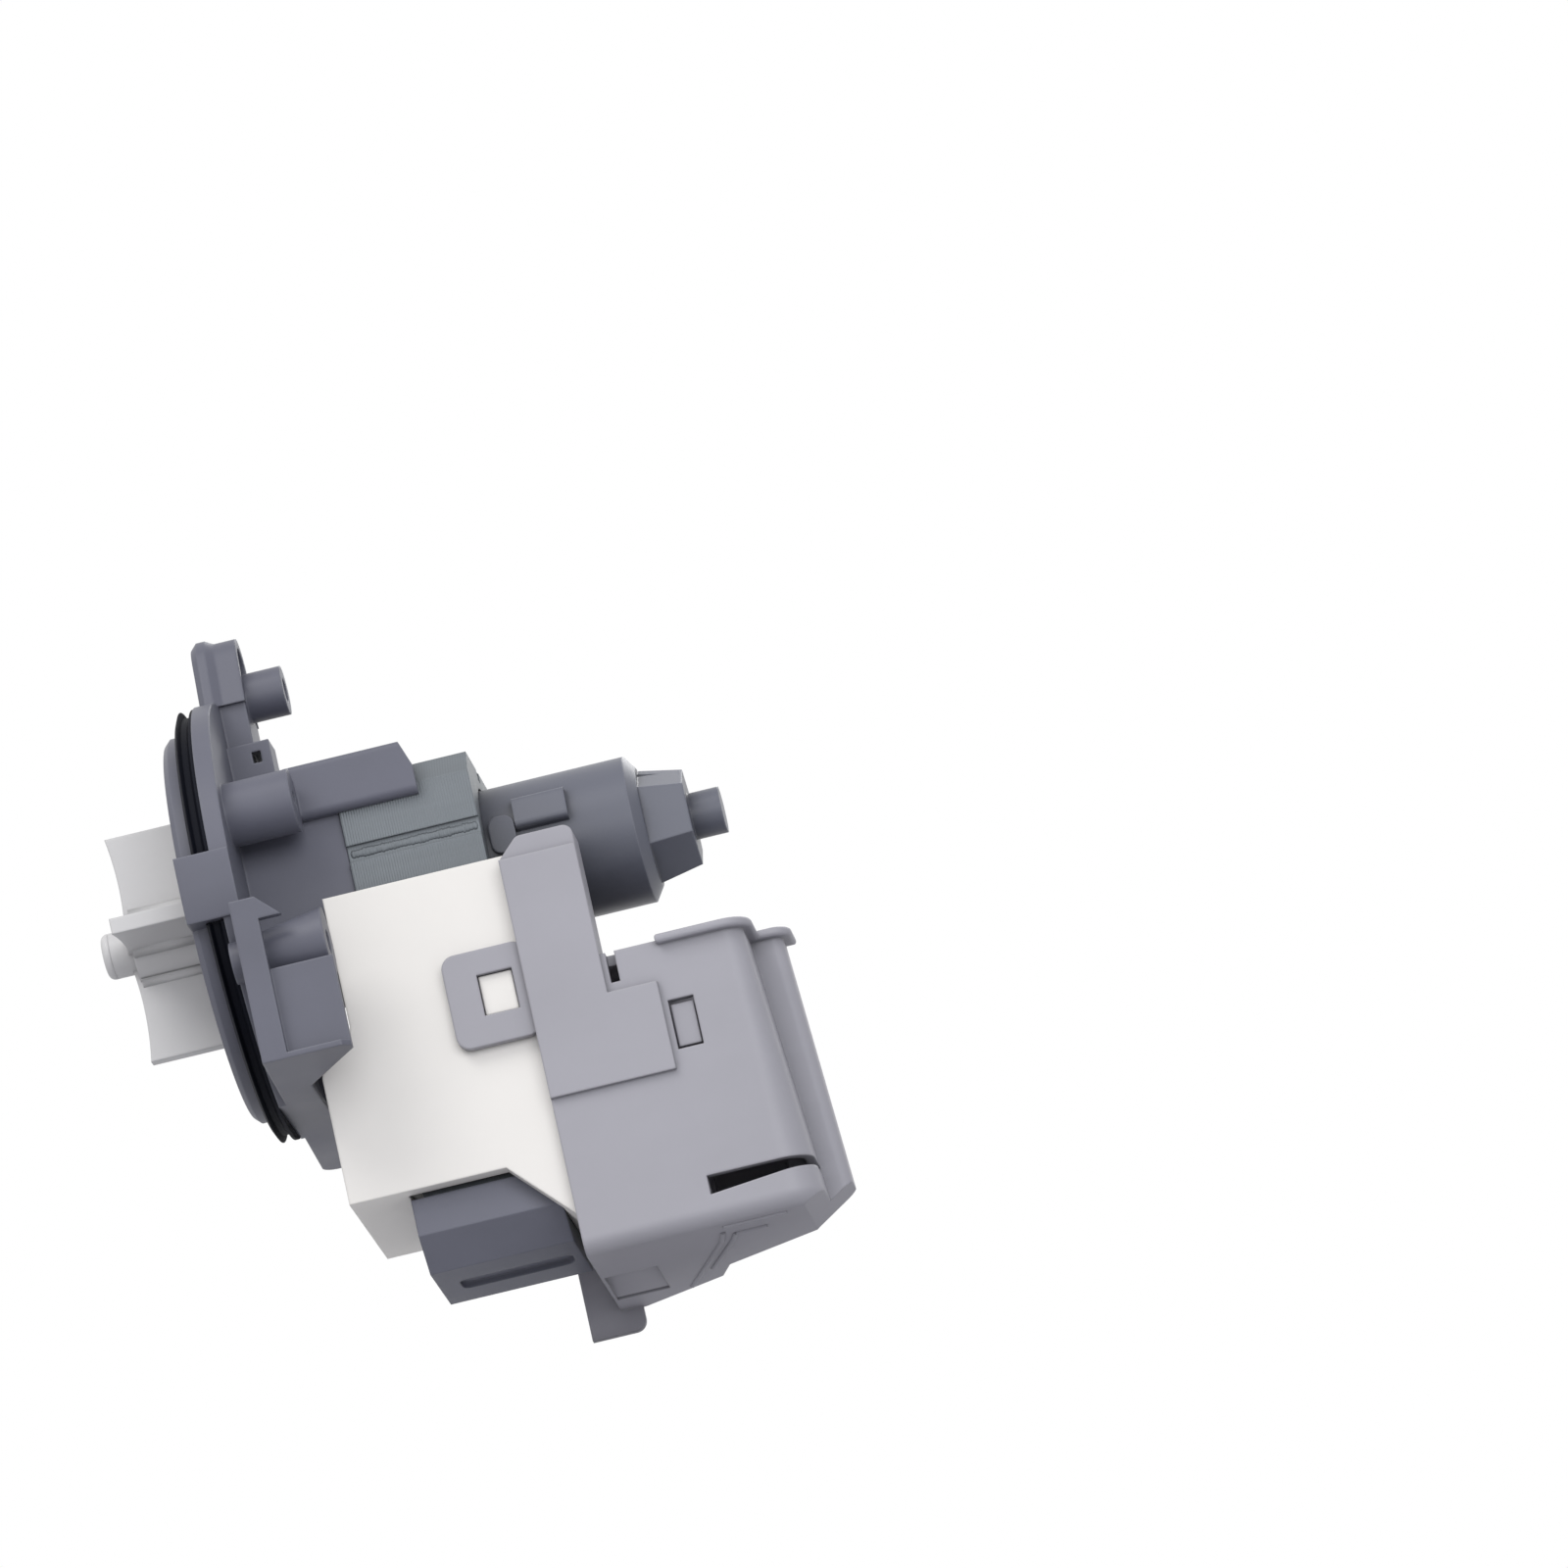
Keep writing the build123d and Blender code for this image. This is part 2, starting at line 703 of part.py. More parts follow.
with BuildPart() as rotor_magnet:
    disc_x(magnet_front, magnet_rear, magnet_radius)
    disc_x(magnet_front - cut_overrun, sleeve_rear, sleeve_radius, mode=Mode.SUBTRACT)
    magnet_rims = rotor_magnet.edges().filter_by(GeomType.CIRCLE).group_by(SortBy.RADIUS)[-1]
    chamfer(magnet_rims, length=shaft_radius / 5)
save(rotor_magnet.part, "rotor_magnet")

with BuildPart() as rotor_sleeve:
    disc_x(sleeve_front, sleeve_rear, sleeve_radius)
    disc_x(sleeve_front, magnet_front, sleeve_cap_radius)
    disc_x(magnet_rear, magnet_rear + sleeve_cap_thickness, sleeve_cap_radius)
    disc_x(sleeve_front - cut_overrun, sleeve_rear + cut_overrun, shaft_radius, mode=Mode.SUBTRACT)
save(rotor_sleeve.part, "rotor_sleeve")

with BuildPart() as thrust_washers:
    for washer_front in (sleeve_front - washer_thickness, sleeve_rear):
        disc_x(washer_front, washer_front + washer_thickness, washer_radius)
    disc_x(sleeve_front - cut_overrun - washer_thickness, sleeve_front, shaft_radius, mode=Mode.SUBTRACT)
    disc_x(sleeve_rear, sleeve_rear + washer_thickness + cut_overrun, shaft_radius, mode=Mode.SUBTRACT)
save(thrust_washers.part, "thrust_washers")


# Lost-motion drive: a dog on the shaft turns inside the impeller's hub until it meets a stop
hub_bore = hub_radius - hub_wall
dog_front = shaft_front
dog_rear = dog_front + dog_length
dog_outer = hub_bore - dog_inner_gap


def sector(inner, outer, middle_angle, half_angle):
    # The flat sector of a ring between two radii, centred on an angle.
    start = middle_angle - half_angle
    with BuildLine() as outline:
        inner_arc = CenterArc((0, 0), inner, start, 2 * half_angle)
        outer_arc = CenterArc((0, 0), outer, start, 2 * half_angle)
        Line(inner_arc @ 0, outer_arc @ 0)
        Line(inner_arc @ 1, outer_arc @ 1)
    make_face(outline.edges())


with BuildPart() as drive_dog:
    disc_x(dog_front, dog_rear, shaft_radius + hub_wall / 2)
    with BuildSketch(Plane.YZ.offset(dog_front)):
        sector(shaft_radius, dog_outer, 90, dog_half_angle)
    extrude(amount=dog_length)
    disc_x(dog_front - cut_overrun, dog_rear + cut_overrun, shaft_radius, mode=Mode.SUBTRACT)
save(drive_dog.part, "drive_dog")


# Impeller: four blades on a back disc and a hollow hub
stop_inner = shaft_radius + hub_wall / 2 + body_gap
with BuildPart() as impeller:
    disc_x(hub_dome_front, impeller_rear, hub_radius)
    disc_x(impeller_rear - impeller_disc, impeller_rear, hub_radius * 2)
    for blade_plane in (Plane.XZ, Plane.XY):
        with BuildSketch(blade_plane.offset(-impeller_blade / 2)):
            with BuildLine() as blade_outline:
                for side in (1, -1):
                    edge = ThreePointArc(
                        (impeller_front, side * cap_radius / 2),
                        (impeller_front + impeller_dish, side * impeller_radius / 2),
                        (impeller_front, side * impeller_radius),
                    )
                    side_edge = Line(edge @ 1, (impeller_rear, side * impeller_radius))
                    Line(side_edge @ 1, (impeller_rear, 0))
                Line((impeller_front, -cap_radius / 2), (impeller_front, cap_radius / 2))
            make_face()
        extrude(amount=impeller_blade)
    disc_x(cap_front + cap_thickness, hub_dome_front + cut_overrun, cap_radius)
    disc_x(dog_front - body_gap, impeller_rear + cut_overrun, hub_bore, mode=Mode.SUBTRACT)
    with BuildSketch(Plane.YZ.offset(dog_front - body_gap)):
        sector(stop_inner, hub_bore + hub_wall / 2, -90, stop_half_angle)
    extrude(amount=dog_length)
    with BuildSketch(Plane.YZ.offset(dog_rear + body_gap)):
        Circle(hub_bore + hub_wall / 2)
        Circle(shaft_radius + running_gap, mode=Mode.SUBTRACT)
    extrude(amount=hub_radius)
save(impeller.part, "impeller")

with BuildPart() as impeller_cap:
    disc_x(cap_front, cap_front + cap_thickness, cap_radius)
    cap_rim = impeller_cap.edges().filter_by(GeomType.CIRCLE).sort_by(Axis.X)[0]
    fillet(cap_rim, radius=cap_round)
save(impeller_cap.part, "impeller_cap")

with BuildPart() as drive_damper:
    for side in (1, -1):
        middle_angle = -90 + side * (stop_half_angle + damper_thickness / hub_bore * 180 / pi)
        with BuildSketch(Plane.YZ.offset(dog_front)):
            sector(stop_inner, hub_bore, middle_angle, damper_thickness / hub_bore * 180 / pi)
        extrude(amount=dog_length - 2 * body_gap)
save(drive_damper.part, "drive_damper")


# Stator core: two poles and legs in one stack, joined by thin bridges at the bore
with BuildPart() as pole_core:
    with BuildSketch(Plane.YZ.offset(core_front)):
        for side in (1, -1):
            with BuildLine():
                Polyline(
                    (0, pole_top),
                    (side * (pole_half_width - pole_corner), pole_top),
                    (side * pole_half_width, pole_top - pole_corner),
                    (side * pole_half_width, weld_notch_high),
                    (side * (pole_half_width - weld_notch_depth), weld_notch_high),
                    (side * (pole_half_width - weld_notch_depth), weld_notch_low),
                    (side * pole_half_width, weld_notch_low),
                    (side * pole_half_width, pole_bottom),
                    (side * leg_outer, pole_bottom),
                    (side * leg_outer, leg_bottom),
                    (side * leg_inner, leg_bottom),
                    (side * leg_inner, pole_bottom - pole_bridge),
                    (0, pole_bottom - pole_bridge),
                    close=True,
                )
            make_face()
        Circle(pole_bore, mode=Mode.SUBTRACT)
        for z_middle in (pole_top + pole_bridge, pole_bottom - 2 * pole_bridge):
            with Locations((0, z_middle)):
                slit_height = 2 * (pole_top - pole_bore - pole_bridge)
                Rectangle(2 * pole_slit_half_width, slit_height, mode=Mode.SUBTRACT)
        Circle(pole_bore + pole_bridge)
        Circle(pole_bore, mode=Mode.SUBTRACT)
    extrude(amount=core_stack)
save(pole_core.part, "pole_core")

yoke_top = leg_bottom
yoke_bottom = yoke_top - yoke_height
with BuildPart() as yoke_core:
    block((core_front, core_rear), (-yoke_half_width, yoke_half_width), (yoke_bottom, yoke_top))
    chamfer(
        yoke_core.edges().filter_by(Axis.X).group_by(Axis.Z)[0],
        length=shoe_corner_height - shoe_wall,
    )
save(yoke_core.part, "yoke_core")

# Plastic shoe that wraps the yoke, open at its top
shoe_half_width = yoke_half_width + shoe_wall
with BuildPart() as yoke_shoe:
    with BuildSketch(Plane.YZ.offset(core_front - shoe_wall)):
        with BuildLine():
            Polyline(
                (-shoe_half_width, yoke_top),
                (-shoe_half_width, shoe_bottom + shoe_corner_height),
                (-shoe_flat_half_width, shoe_bottom),
                (shoe_flat_half_width, shoe_bottom),
                (shoe_half_width, shoe_bottom + shoe_corner_height),
                (shoe_half_width, yoke_top),
                close=True,
            )
        make_face()
    extrude(amount=core_stack + shoe_wall)
    add(yoke_core.part, mode=Mode.SUBTRACT)
    slot_middle = (core_front + core_rear) / 2
    with BuildSketch(Plane.XY.offset(shoe_bottom)):
        with Locations((slot_middle, 0)):
            RectangleRounded(shoe_slot_length, shoe_slot_width, shoe_slot_width / 4)
    extrude(amount=shoe_slot_depth, mode=Mode.SUBTRACT)
save(yoke_shoe.part, "yoke_shoe")


# Coils: a bobbin and a winding round each leg
bobbin_top = pole_bottom - pole_bridge - slip_gap
bobbin_bottom = jacket_bottom + jacket_wall + slip_gap
winding_top = bobbin_top - bobbin_flange
winding_bottom = bobbin_bottom + bobbin_flange
core_middle = (core_front + core_rear) / 2

for side, side_name in ((-1, "near"), (1, "far")):
    with BuildPart() as bobbin:
        with BuildSketch(Plane.XY.offset(bobbin_bottom)):
            with Locations((core_middle, side * leg_middle)):
                Rectangle(*bobbin_size)
        extrude(amount=bobbin_top - bobbin_bottom)
        for flange_z in (bobbin_bottom, winding_top):
            with BuildSketch(Plane.XY.offset(flange_z)):
                with Locations((core_middle, side * leg_middle)):
                    RectangleRounded(*winding_size, winding_thickness)
            extrude(amount=bobbin_flange)
        with BuildSketch(Plane.XY.offset(bobbin_bottom)):
            with Locations((core_middle, side * leg_middle)):
                Rectangle(*bobbin_hole)
        extrude(amount=bobbin_top - bobbin_bottom, mode=Mode.SUBTRACT)
    save(bobbin.part, "bobbin_" + side_name)

    with BuildPart() as winding:
        with BuildSketch(Plane.XY.offset(winding_bottom)):
            with Locations((core_middle, side * leg_middle)):
                RectangleRounded(*[size - 2 * slip_gap for size in winding_size], winding_thickness)
                Rectangle(*bobbin_size, mode=Mode.SUBTRACT)
        extrude(amount=winding_top - winding_bottom)
    save(winding.part, "winding_" + side_name)


# White jacket: a hollow box round both coils, open at its top to the poles
def jacket_outline(inset=0.0):
    # Side outline in X and Z, drawn inwards by the wall where it is the hollow.
    with BuildLine() as outline:
        Polyline(
            (jacket_rear - inset, jacket_top - inset),
            (jacket_upper_front + inset, jacket_top - inset),
            (jacket_upper_front + inset, jacket_step_top),
            (jacket_front + inset, jacket_step_bottom),
            (jacket_front + inset, jacket_bottom + inset),
            (jacket_rear - inset, jacket_bottom + inset),
            close=True,
        )
    make_face(outline.edges())


with BuildPart() as coil_jacket:
    with BuildSketch(Plane.XZ.offset(-jacket_half_width)):
        jacket_outline()
        with BuildLine():
            Polyline(
                (jacket_foot_front, jacket_bottom),
                (jacket_foot_rear, jacket_foot_bottom),
                (jacket_rear, jacket_foot_bottom),
                (jacket_rear, jacket_bottom),
                close=True,
            )
        make_face()
    extrude(amount=2 * jacket_half_width)
    step_edges = coil_jacket.edges().filter_by(Axis.Y).filter_by_position(
        Axis.Z, jacket_step_bottom - slip_gap, jacket_step_top + slip_gap
    )
    fillet(step_edges, radius=jacket_wall * 2)
    with BuildSketch(Plane.XZ.offset(-jacket_half_width + jacket_wall)):
        jacket_outline(jacket_wall)
    extrude(amount=2 * (jacket_half_width - jacket_wall), mode=Mode.SUBTRACT)
    # Hollow of the foot behind the yoke
    block(
        (jacket_foot_rear, jacket_rear - jacket_wall),
        (-jacket_half_width + jacket_wall, jacket_half_width - jacket_wall),
        (jacket_foot_bottom + jacket_wall, jacket_bottom + 2 * jacket_wall),
        mode=Mode.SUBTRACT,
    )
    # Openings for the poles and chamber at the top, and for the legs and shoe at the bottom
    block(
        (core_front - slip_gap, core_rear + slip_gap),
        (-pole_half_width - slip_gap, pole_half_width + slip_gap),
        (jacket_top - 2 * jacket_wall, jacket_top + cut_overrun),
        mode=Mode.SUBTRACT,
    )
    disc_x(
        jacket_upper_front - cut_overrun,
        jacket_rear + cut_overrun,
        chamber_radius + body_gap,
        mode=Mode.SUBTRACT,
    )
    block(
        (jacket_upper_front - cut_overrun, neck_end + slip_gap),
        (-neck_half_width - slip_gap, neck_half_width + slip_gap),
        (neck_bottom - slip_gap, jacket_top + cut_overrun),
        mode=Mode.SUBTRACT,
    )
    block(
        (core_front - shoe_wall - slip_gap, core_rear + slip_gap),
        (-shoe_half_width - slip_gap, shoe_half_width + slip_gap),
        (jacket_foot_bottom - cut_overrun, jacket_bottom + 2 * jacket_wall),
        mode=Mode.SUBTRACT,
    )
    # Slots in the rear wall for the links
    for y_place in blade_y:
        block(
            (jacket_rear - jacket_wall - cut_overrun, jacket_rear + cut_overrun),
            (y_place - link_thickness / 2 - slip_gap, y_place + link_thickness / 2 + slip_gap),
            (blade_bottom - link_width - slip_gap, blade_bottom + slip_gap),
            mode=Mode.SUBTRACT,
        )
    # Latch nubs for the cover's tabs
    for y_range in (
        (-jacket_half_width - nub_proud, -jacket_half_width),
        (jacket_half_width, jacket_half_width + nub_proud),
    ):
        block((nub_front, nub_rear), y_range, (nub_low, nub_top))
save(coil_jacket.part, "coil_jacket")


# Terminal cover
arm_inner_y = cover_half_width - cover_arm_width


def cover_plan(inset, lean, corner_round):
    # Plan outline of the cover's body in X and Y, with its end wall pushed out by the lean.
    end_x = cover_box_near_end + lean
    corner = (end_x - corner_round, -cover_half_width + corner_round)
    far_reach = cover_box_near_end - cover_front
    far_depth = cover_half_width - cover_box_side
    far_points = [
        (cover_front + x_share * far_reach - inset, cover_box_side + y_share * far_depth - inset)
        for x_share, y_share in cover_far_steps_share
    ]
    with BuildLine() as outline:
        CenterArc(corner, corner_round - inset, -90, 90)
        Polyline(
            (end_x - inset, corner[1]),
            (end_x - inset, cover_box_side - inset),
            *far_points,
            (cover_front + inset, cover_half_width - inset),
            (cover_front + inset, -cover_half_width + inset),
            (corner[0], -cover_half_width + inset),
        )
    make_face(outline.edges())


# Key channel at the connector's outer end, leaning outwards to its foot
with BuildPart() as key_channel:
    with BuildSketch(Plane.XZ.offset(-cover_key_far)):
        with BuildLine():
            Polyline(
                (cover_box_near_end - cover_wall, cover_box_top),
                (cover_key_end, cover_box_top),
                (cover_key_end + cover_key_lean, cover_bottom),
                (cover_box_near_end - cover_wall, cover_bottom),
                close=True,
            )
        make_face()
    extrude(amount=cover_key_far - cover_key_near)
    key_end_face = key_channel.faces().sort_by(Axis.X)[-1]
    fillet(key_end_face.edges().filter_by(Axis.Y, reverse=True), radius=cover_key_round)

# Rolled lip round the connector's mouth
key_inner_near = cover_key_near + cover_key_wall
with BuildPart() as mouth_lip:
    with BuildSketch(Plane.XY.offset(cover_box_top - lip_height / 2)):
        with BuildLine():
            corner = (cover_box_near_end - cover_corner_round, -cover_half_width + cover_corner_round)
            key_corner = (cover_key_end - cover_key_round, cover_key_near + cover_key_round)
            CenterArc(corner, cover_corner_round + lip_proud, -90, 90)
            CenterArc(key_corner, cover_key_round + lip_proud, -90, 90)
            Polyline(
                (cover_box_near_end + lip_proud, corner[1]),
                (cover_box_near_end + lip_proud, cover_key_near - lip_proud),
                (key_corner[0], cover_key_near - lip_proud),
            )
            Polyline(
                (cover_key_end + lip_proud, key_corner[1]),
                (cover_key_end + lip_proud, cover_key_far),
                (cover_key_end - cover_key_wall, cover_key_far),
                (cover_key_end - cover_key_wall, key_inner_near),
                (cover_box_near_end - cover_wall, key_inner_near),
                (cover_box_near_end - cover_wall, corner[1]),
                (corner[0], -cover_half_width + cover_wall),
                (lip_front, -cover_half_width + cover_wall),
                (lip_front, -cover_half_width - lip_proud),
                (corner[0], -cover_half_width - lip_proud),
            )
        make_face()
    extrude(amount=lip_height)
    for level in (0, -1):
        fillet(mouth_lip.edges().group_by(Axis.Z)[level], radius=lip_edge)

with BuildPart() as terminal_cover:
    with BuildSketch(Plane.XY.offset(cover_bottom)):
        cover_plan(0, cover_end_lean, cover_corner_low_round)
    with BuildSketch(Plane.XY.offset(cover_box_top)):
        cover_plan(0, 0, cover_corner_round)
    loft(ruled=True)
    low_near_edge = terminal_cover.edges().group_by(Axis.Z)[0].sort_by(Axis.Y)[0]
    fillet(low_near_edge, radius=cover_roll)
    with BuildSketch(Plane.XY.offset(cover_bottom + cover_wall)):
        cover_plan(cover_wall, cover_end_lean, cover_corner_low_round)
    with BuildSketch(Plane.XY.offset(cover_box_top)):
        cover_plan(cover_wall, 0, cover_corner_round)
    loft(ruled=True, mode=Mode.SUBTRACT)
    add(key_channel.part)
    block(
        (cover_box_near_end - 2 * cover_wall, cover_key_end - cover_key_wall),
        (key_inner_near, cover_key_far - cover_key_wall),
        (cover_key_bottom + cover_wall, cover_box_top + cut_overrun),
        mode=Mode.SUBTRACT,
    )
    # The underside slopes up to the outer end
    slope_end = cover_key_end + cover_key_lean + cut_overrun
    slope_rise = (slope_end - cover_slope_start) * cover_slope_share
    with BuildSketch(Plane.XZ.offset(-cover_half_width - cut_overrun)):
        with BuildLine():
            Polyline(
                (cover_slope_start, cover_bottom),
                (slope_end, cover_bottom + slope_rise),
                (slope_end, cover_bottom - cut_overrun),
                (cover_slope_start, cover_bottom - cut_overrun),
                close=True,
            )
        make_face()
    extrude(amount=2 * (cover_half_width + cut_overrun), mode=Mode.SUBTRACT)
    # Lid over the part of the body beside the connector
    with BuildSketch(Plane.XY.offset(cover_box_top - cover_wall)):
        cover_plan(0, 0, cover_corner_round)
        with Locations((lid_rear + cover_half_width, 0)):
            Rectangle(2 * cover_half_width, 3 * cover_half_width, mode=Mode.SUBTRACT)
    extrude(amount=cover_wall)
    # Near and far arms either side of the chamber
    for side, arm_end_x in ((-1, cover_arm_end), (1, cover_far_arm_end)):
        y_range = sorted((side * cover_half_width, side * arm_inner_y))
        with BuildSketch(Plane.XZ.offset(-y_range[1])):
            with BuildLine():
                Polyline(
                    (cover_front, cover_box_top),
                    (cover_front, cover_arm_shoulder),
                    (cover_front + cover_arm_shoulder_length, cover_arm_top),
                    (arm_end_x, cover_arm_top),
                    (arm_end_x, cover_box_top),
                    close=True,
                )
            make_face()
        extrude(amount=y_range[1] - y_range[0])
    arm_edges = terminal_cover.edges().filter_by(Axis.Y).filter_by_position(
        Axis.Z, cover_arm_shoulder - slip_gap, cover_arm_top + slip_gap
    )
    fillet(arm_edges, radius=cover_arm_round)
    # Raised plate on the near wall, stepped at its rear
    for x_high, z_high in ((cover_arm_end, cover_arm_top), (plate_rear, plate_step_top)):
        block(
            (cover_front, x_high),
            (-cover_half_width - plate_proud, -cover_half_width),
            (plate_bottom, z_high - cover_arm_shoulder_length if x_high == cover_arm_end else z_high),
        )
    # Room for the jacket, the chamber and the windings' rear ends
    block(
        (cover_front - cut_overrun, jacket_rear + body_gap),
        (-cover_inner_y, cover_inner_y),
        (jacket_foot_bottom - body_gap, jacket_top + body_gap),
        mode=Mode.SUBTRACT,
    )
    disc_x(
        cover_front - cut_overrun,
        chamber_end,
        chamber_radius + cover_saddle_gap,
        mode=Mode.SUBTRACT,
    )
    # Latch tabs that snap over the jacket's nubs
    for side in (-1, 1):
        tab_inner = side * cover_inner_y
        tab_outer = side * (cover_inner_y + latch_thickness)
        y_low, y_high = sorted((tab_inner, tab_outer))
        with BuildSketch(Plane.XZ.offset(-y_high)):
            with Locations((cover_front - tab_length / 2, (latch_top + latch_bottom) / 2)):
                RectangleRounded(tab_length + latch_round, latch_top - latch_bottom, latch_round)
                window_width = nub_rear - nub_front + 2 * nub_gap
                window_height = nub_top - nub_low + 2 * nub_gap
            with Locations(((nub_front + nub_rear) / 2, (nub_top + nub_low) / 2)):
                Rectangle(window_width, window_height, mode=Mode.SUBTRACT)
        extrude(amount=y_high - y_low)
    # Snap window, drip slot and the vent slot that turns the corner
    near_low = -cover_half_width - plate_proud - cut_overrun
    near_cut = (near_low, -cover_half_width + cover_wall + cut_overrun)
    block((window_front, window_rear), near_cut, (window_bottom, window_top), mode=Mode.SUBTRACT)
    slot_range = (cover_box_top - slot_depth, cover_box_top + cut_overrun)
    block((slot_front, slot_rear), near_cut, slot_range, mode=Mode.SUBTRACT)
    vent_rear = cover_key_end
    with BuildSketch(Plane.XZ.offset(-cover_key_near)):
        with BuildLine():
            Polyline(
                (vent_front, vent_bottom),
                (vent_front, vent_top),
                (vent_rear, vent_top),
                (vent_rear, vent_rear_bottom),
                close=True,
            )
        make_face()
    extrude(amount=cover_key_near - near_low, mode=Mode.SUBTRACT)
    add(mouth_lip.part)
    # Far foot that reaches below the body, and the pocket in the underside
    block(
        (foot_front, foot_rear),
        (cover_inner_y, cover_inner_y + cover_wall),
        (foot_bottom, foot_top),
    )
    foot_edges = terminal_cover.edges().filter_by(Axis.Y).group_by(Axis.Z)[0]
    fillet(foot_edges.sort_by(Axis.X)[-1], radius=foot_round)
    with BuildSketch(Plane.YZ.offset(pocket_front)):
        with BuildLine():
            Polyline(
                (pocket_near, cover_bottom - cut_overrun),
                (pocket_near, cover_bottom + pocket_depth),
                (pocket_far - pocket_groove_width, cover_bottom + pocket_far_depth),
                (pocket_far - pocket_groove_width, cover_bottom + pocket_groove_depth),
                (pocket_far, cover_bottom + pocket_groove_depth),
                (pocket_far, cover_bottom - cut_overrun),
                close=True,
            )
        make_face()
    extrude(amount=pocket_rear - pocket_front, mode=Mode.SUBTRACT)
save(terminal_cover.part, "terminal_cover")


# Connector insert: a floor with two latch teeth, standing in the cover's box
with BuildPart() as connector_insert:
    block(
        (insert_front, insert_rear),
        (insert_near, insert_far),
        (insert_floor_top - insert_floor_thickness, insert_floor_top),
    )
    chamfer(
        connector_insert.edges().filter_by(Axis.Z).sort_by_distance((insert_rear, insert_near, 0))[0],
        length=cover_corner_round,
    )
    # Legs down to the cover's floor
    for y_low in (insert_near, insert_far - cover_wall):
        block(
            (insert_front, insert_front + 2 * cover_wall),
            (y_low, y_low + cover_wall),
            (cover_bottom + cover_wall, insert_floor_top - insert_floor_thickness),
        )
    # Latch finger, with the tooth that shows in the snap window
    block(
        (window_front + insert_gap, window_rear - insert_gap),
        (insert_near, insert_near + latch_tooth_depth),
        (insert_floor_top - insert_floor_thickness, window_top - tooth_top_gap),
    )
    block(
        (window_front + insert_gap, window_rear - insert_gap),
        (insert_near - latch_tooth_depth, insert_near),
        (window_bottom + tooth_low_gap, window_top - tooth_top_gap),
    )
    for y_place in blade_y:
        block(
            (blade_x - blade_width / 2 - slip_gap, blade_x + blade_width / 2 + slip_gap),
            (y_place - blade_thickness / 2 - slip_gap, y_place + blade_thickness / 2 + slip_gap),
            (insert_floor_top - 2 * insert_floor_thickness, insert_floor_top + cut_overrun),
            mode=Mode.SUBTRACT,
        )
save(connector_insert.part, "connector_insert")

with BuildPart() as terminal_blades:
    for y_place in blade_y:
        block(
            (blade_x - blade_width / 2, blade_x + blade_width / 2),
            (y_place - blade_thickness / 2, y_place + blade_thickness / 2),
            (blade_bottom, blade_top),
        )
    chamfer(terminal_blades.edges().filter_by(Axis.X).group_by(Axis.Z)[-1], length=blade_thickness / 4)
save(terminal_blades.part, "terminal_blades")

# Links from the blades forward to the coils' rear faces
winding_rear = core_middle + winding_size[0] / 2
with BuildPart() as terminal_links:
    for y_place in blade_y:
        block(
            (winding_rear, blade_x + link_width / 2),
            (y_place - link_thickness / 2, y_place + link_thickness / 2),
            (blade_bottom - link_width, blade_bottom),
        )
save(terminal_links.part, "terminal_links")

# Thermal cut-out against the rear of the far winding
with BuildPart() as thermal_cutout:
    cutout_z = (winding_top + winding_bottom) / 2
    with BuildSketch(Plane.XY.offset(cutout_z - cutout_length / 2)):
        with Locations((winding_rear + cutout_radius, leg_middle)):
            RectangleRounded(2 * cutout_radius, 3 * cutout_radius, cutout_radius / 2)
    extrude(amount=cutout_length)
save(thermal_cutout.part, "thermal_cutout")
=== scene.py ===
import json
from math import cos, radians, sin

import bpy
from mathutils import Matrix, Vector


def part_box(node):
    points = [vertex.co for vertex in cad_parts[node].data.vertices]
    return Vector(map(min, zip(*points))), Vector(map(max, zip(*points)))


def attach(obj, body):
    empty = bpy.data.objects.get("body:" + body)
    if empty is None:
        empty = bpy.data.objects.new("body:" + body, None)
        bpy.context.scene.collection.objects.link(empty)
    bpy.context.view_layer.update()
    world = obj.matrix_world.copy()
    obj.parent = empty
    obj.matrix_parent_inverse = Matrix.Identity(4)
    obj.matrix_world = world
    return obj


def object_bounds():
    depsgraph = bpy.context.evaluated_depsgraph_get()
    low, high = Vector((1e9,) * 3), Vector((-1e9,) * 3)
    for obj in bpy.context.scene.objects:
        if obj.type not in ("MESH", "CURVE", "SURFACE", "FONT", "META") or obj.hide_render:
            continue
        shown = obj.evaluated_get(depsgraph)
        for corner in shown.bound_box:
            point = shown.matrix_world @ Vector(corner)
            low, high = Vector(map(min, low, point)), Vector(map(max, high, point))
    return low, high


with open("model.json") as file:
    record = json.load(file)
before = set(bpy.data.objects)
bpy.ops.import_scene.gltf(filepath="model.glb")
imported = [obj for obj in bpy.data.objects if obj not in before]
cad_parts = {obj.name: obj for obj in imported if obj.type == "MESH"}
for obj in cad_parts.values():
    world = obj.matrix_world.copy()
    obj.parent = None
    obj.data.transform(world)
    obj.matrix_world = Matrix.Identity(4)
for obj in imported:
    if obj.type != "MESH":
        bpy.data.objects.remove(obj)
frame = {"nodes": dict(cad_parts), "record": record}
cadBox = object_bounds()
mm = 0.001
print("frame loaded:", len(frame["nodes"]), "nodes")


# Camera, at the photograph's angle
cameraSettings = {
    "aim": (35.0 * mm, 0.0, -25.0 * mm),  # middle of the pump
    "azimuth": 3.3,
    "elevation": -14.5,
    "roll": -12.74,
    "distance": 2.5,
    "sideways": -60.6 * mm,  # where the aim point lies from the picture's middle
    "upwards": -41.5 * mm,
    "frameWidth": 291.0 * mm,  # width of the view at the pump
    "sensor": 36.0,
}


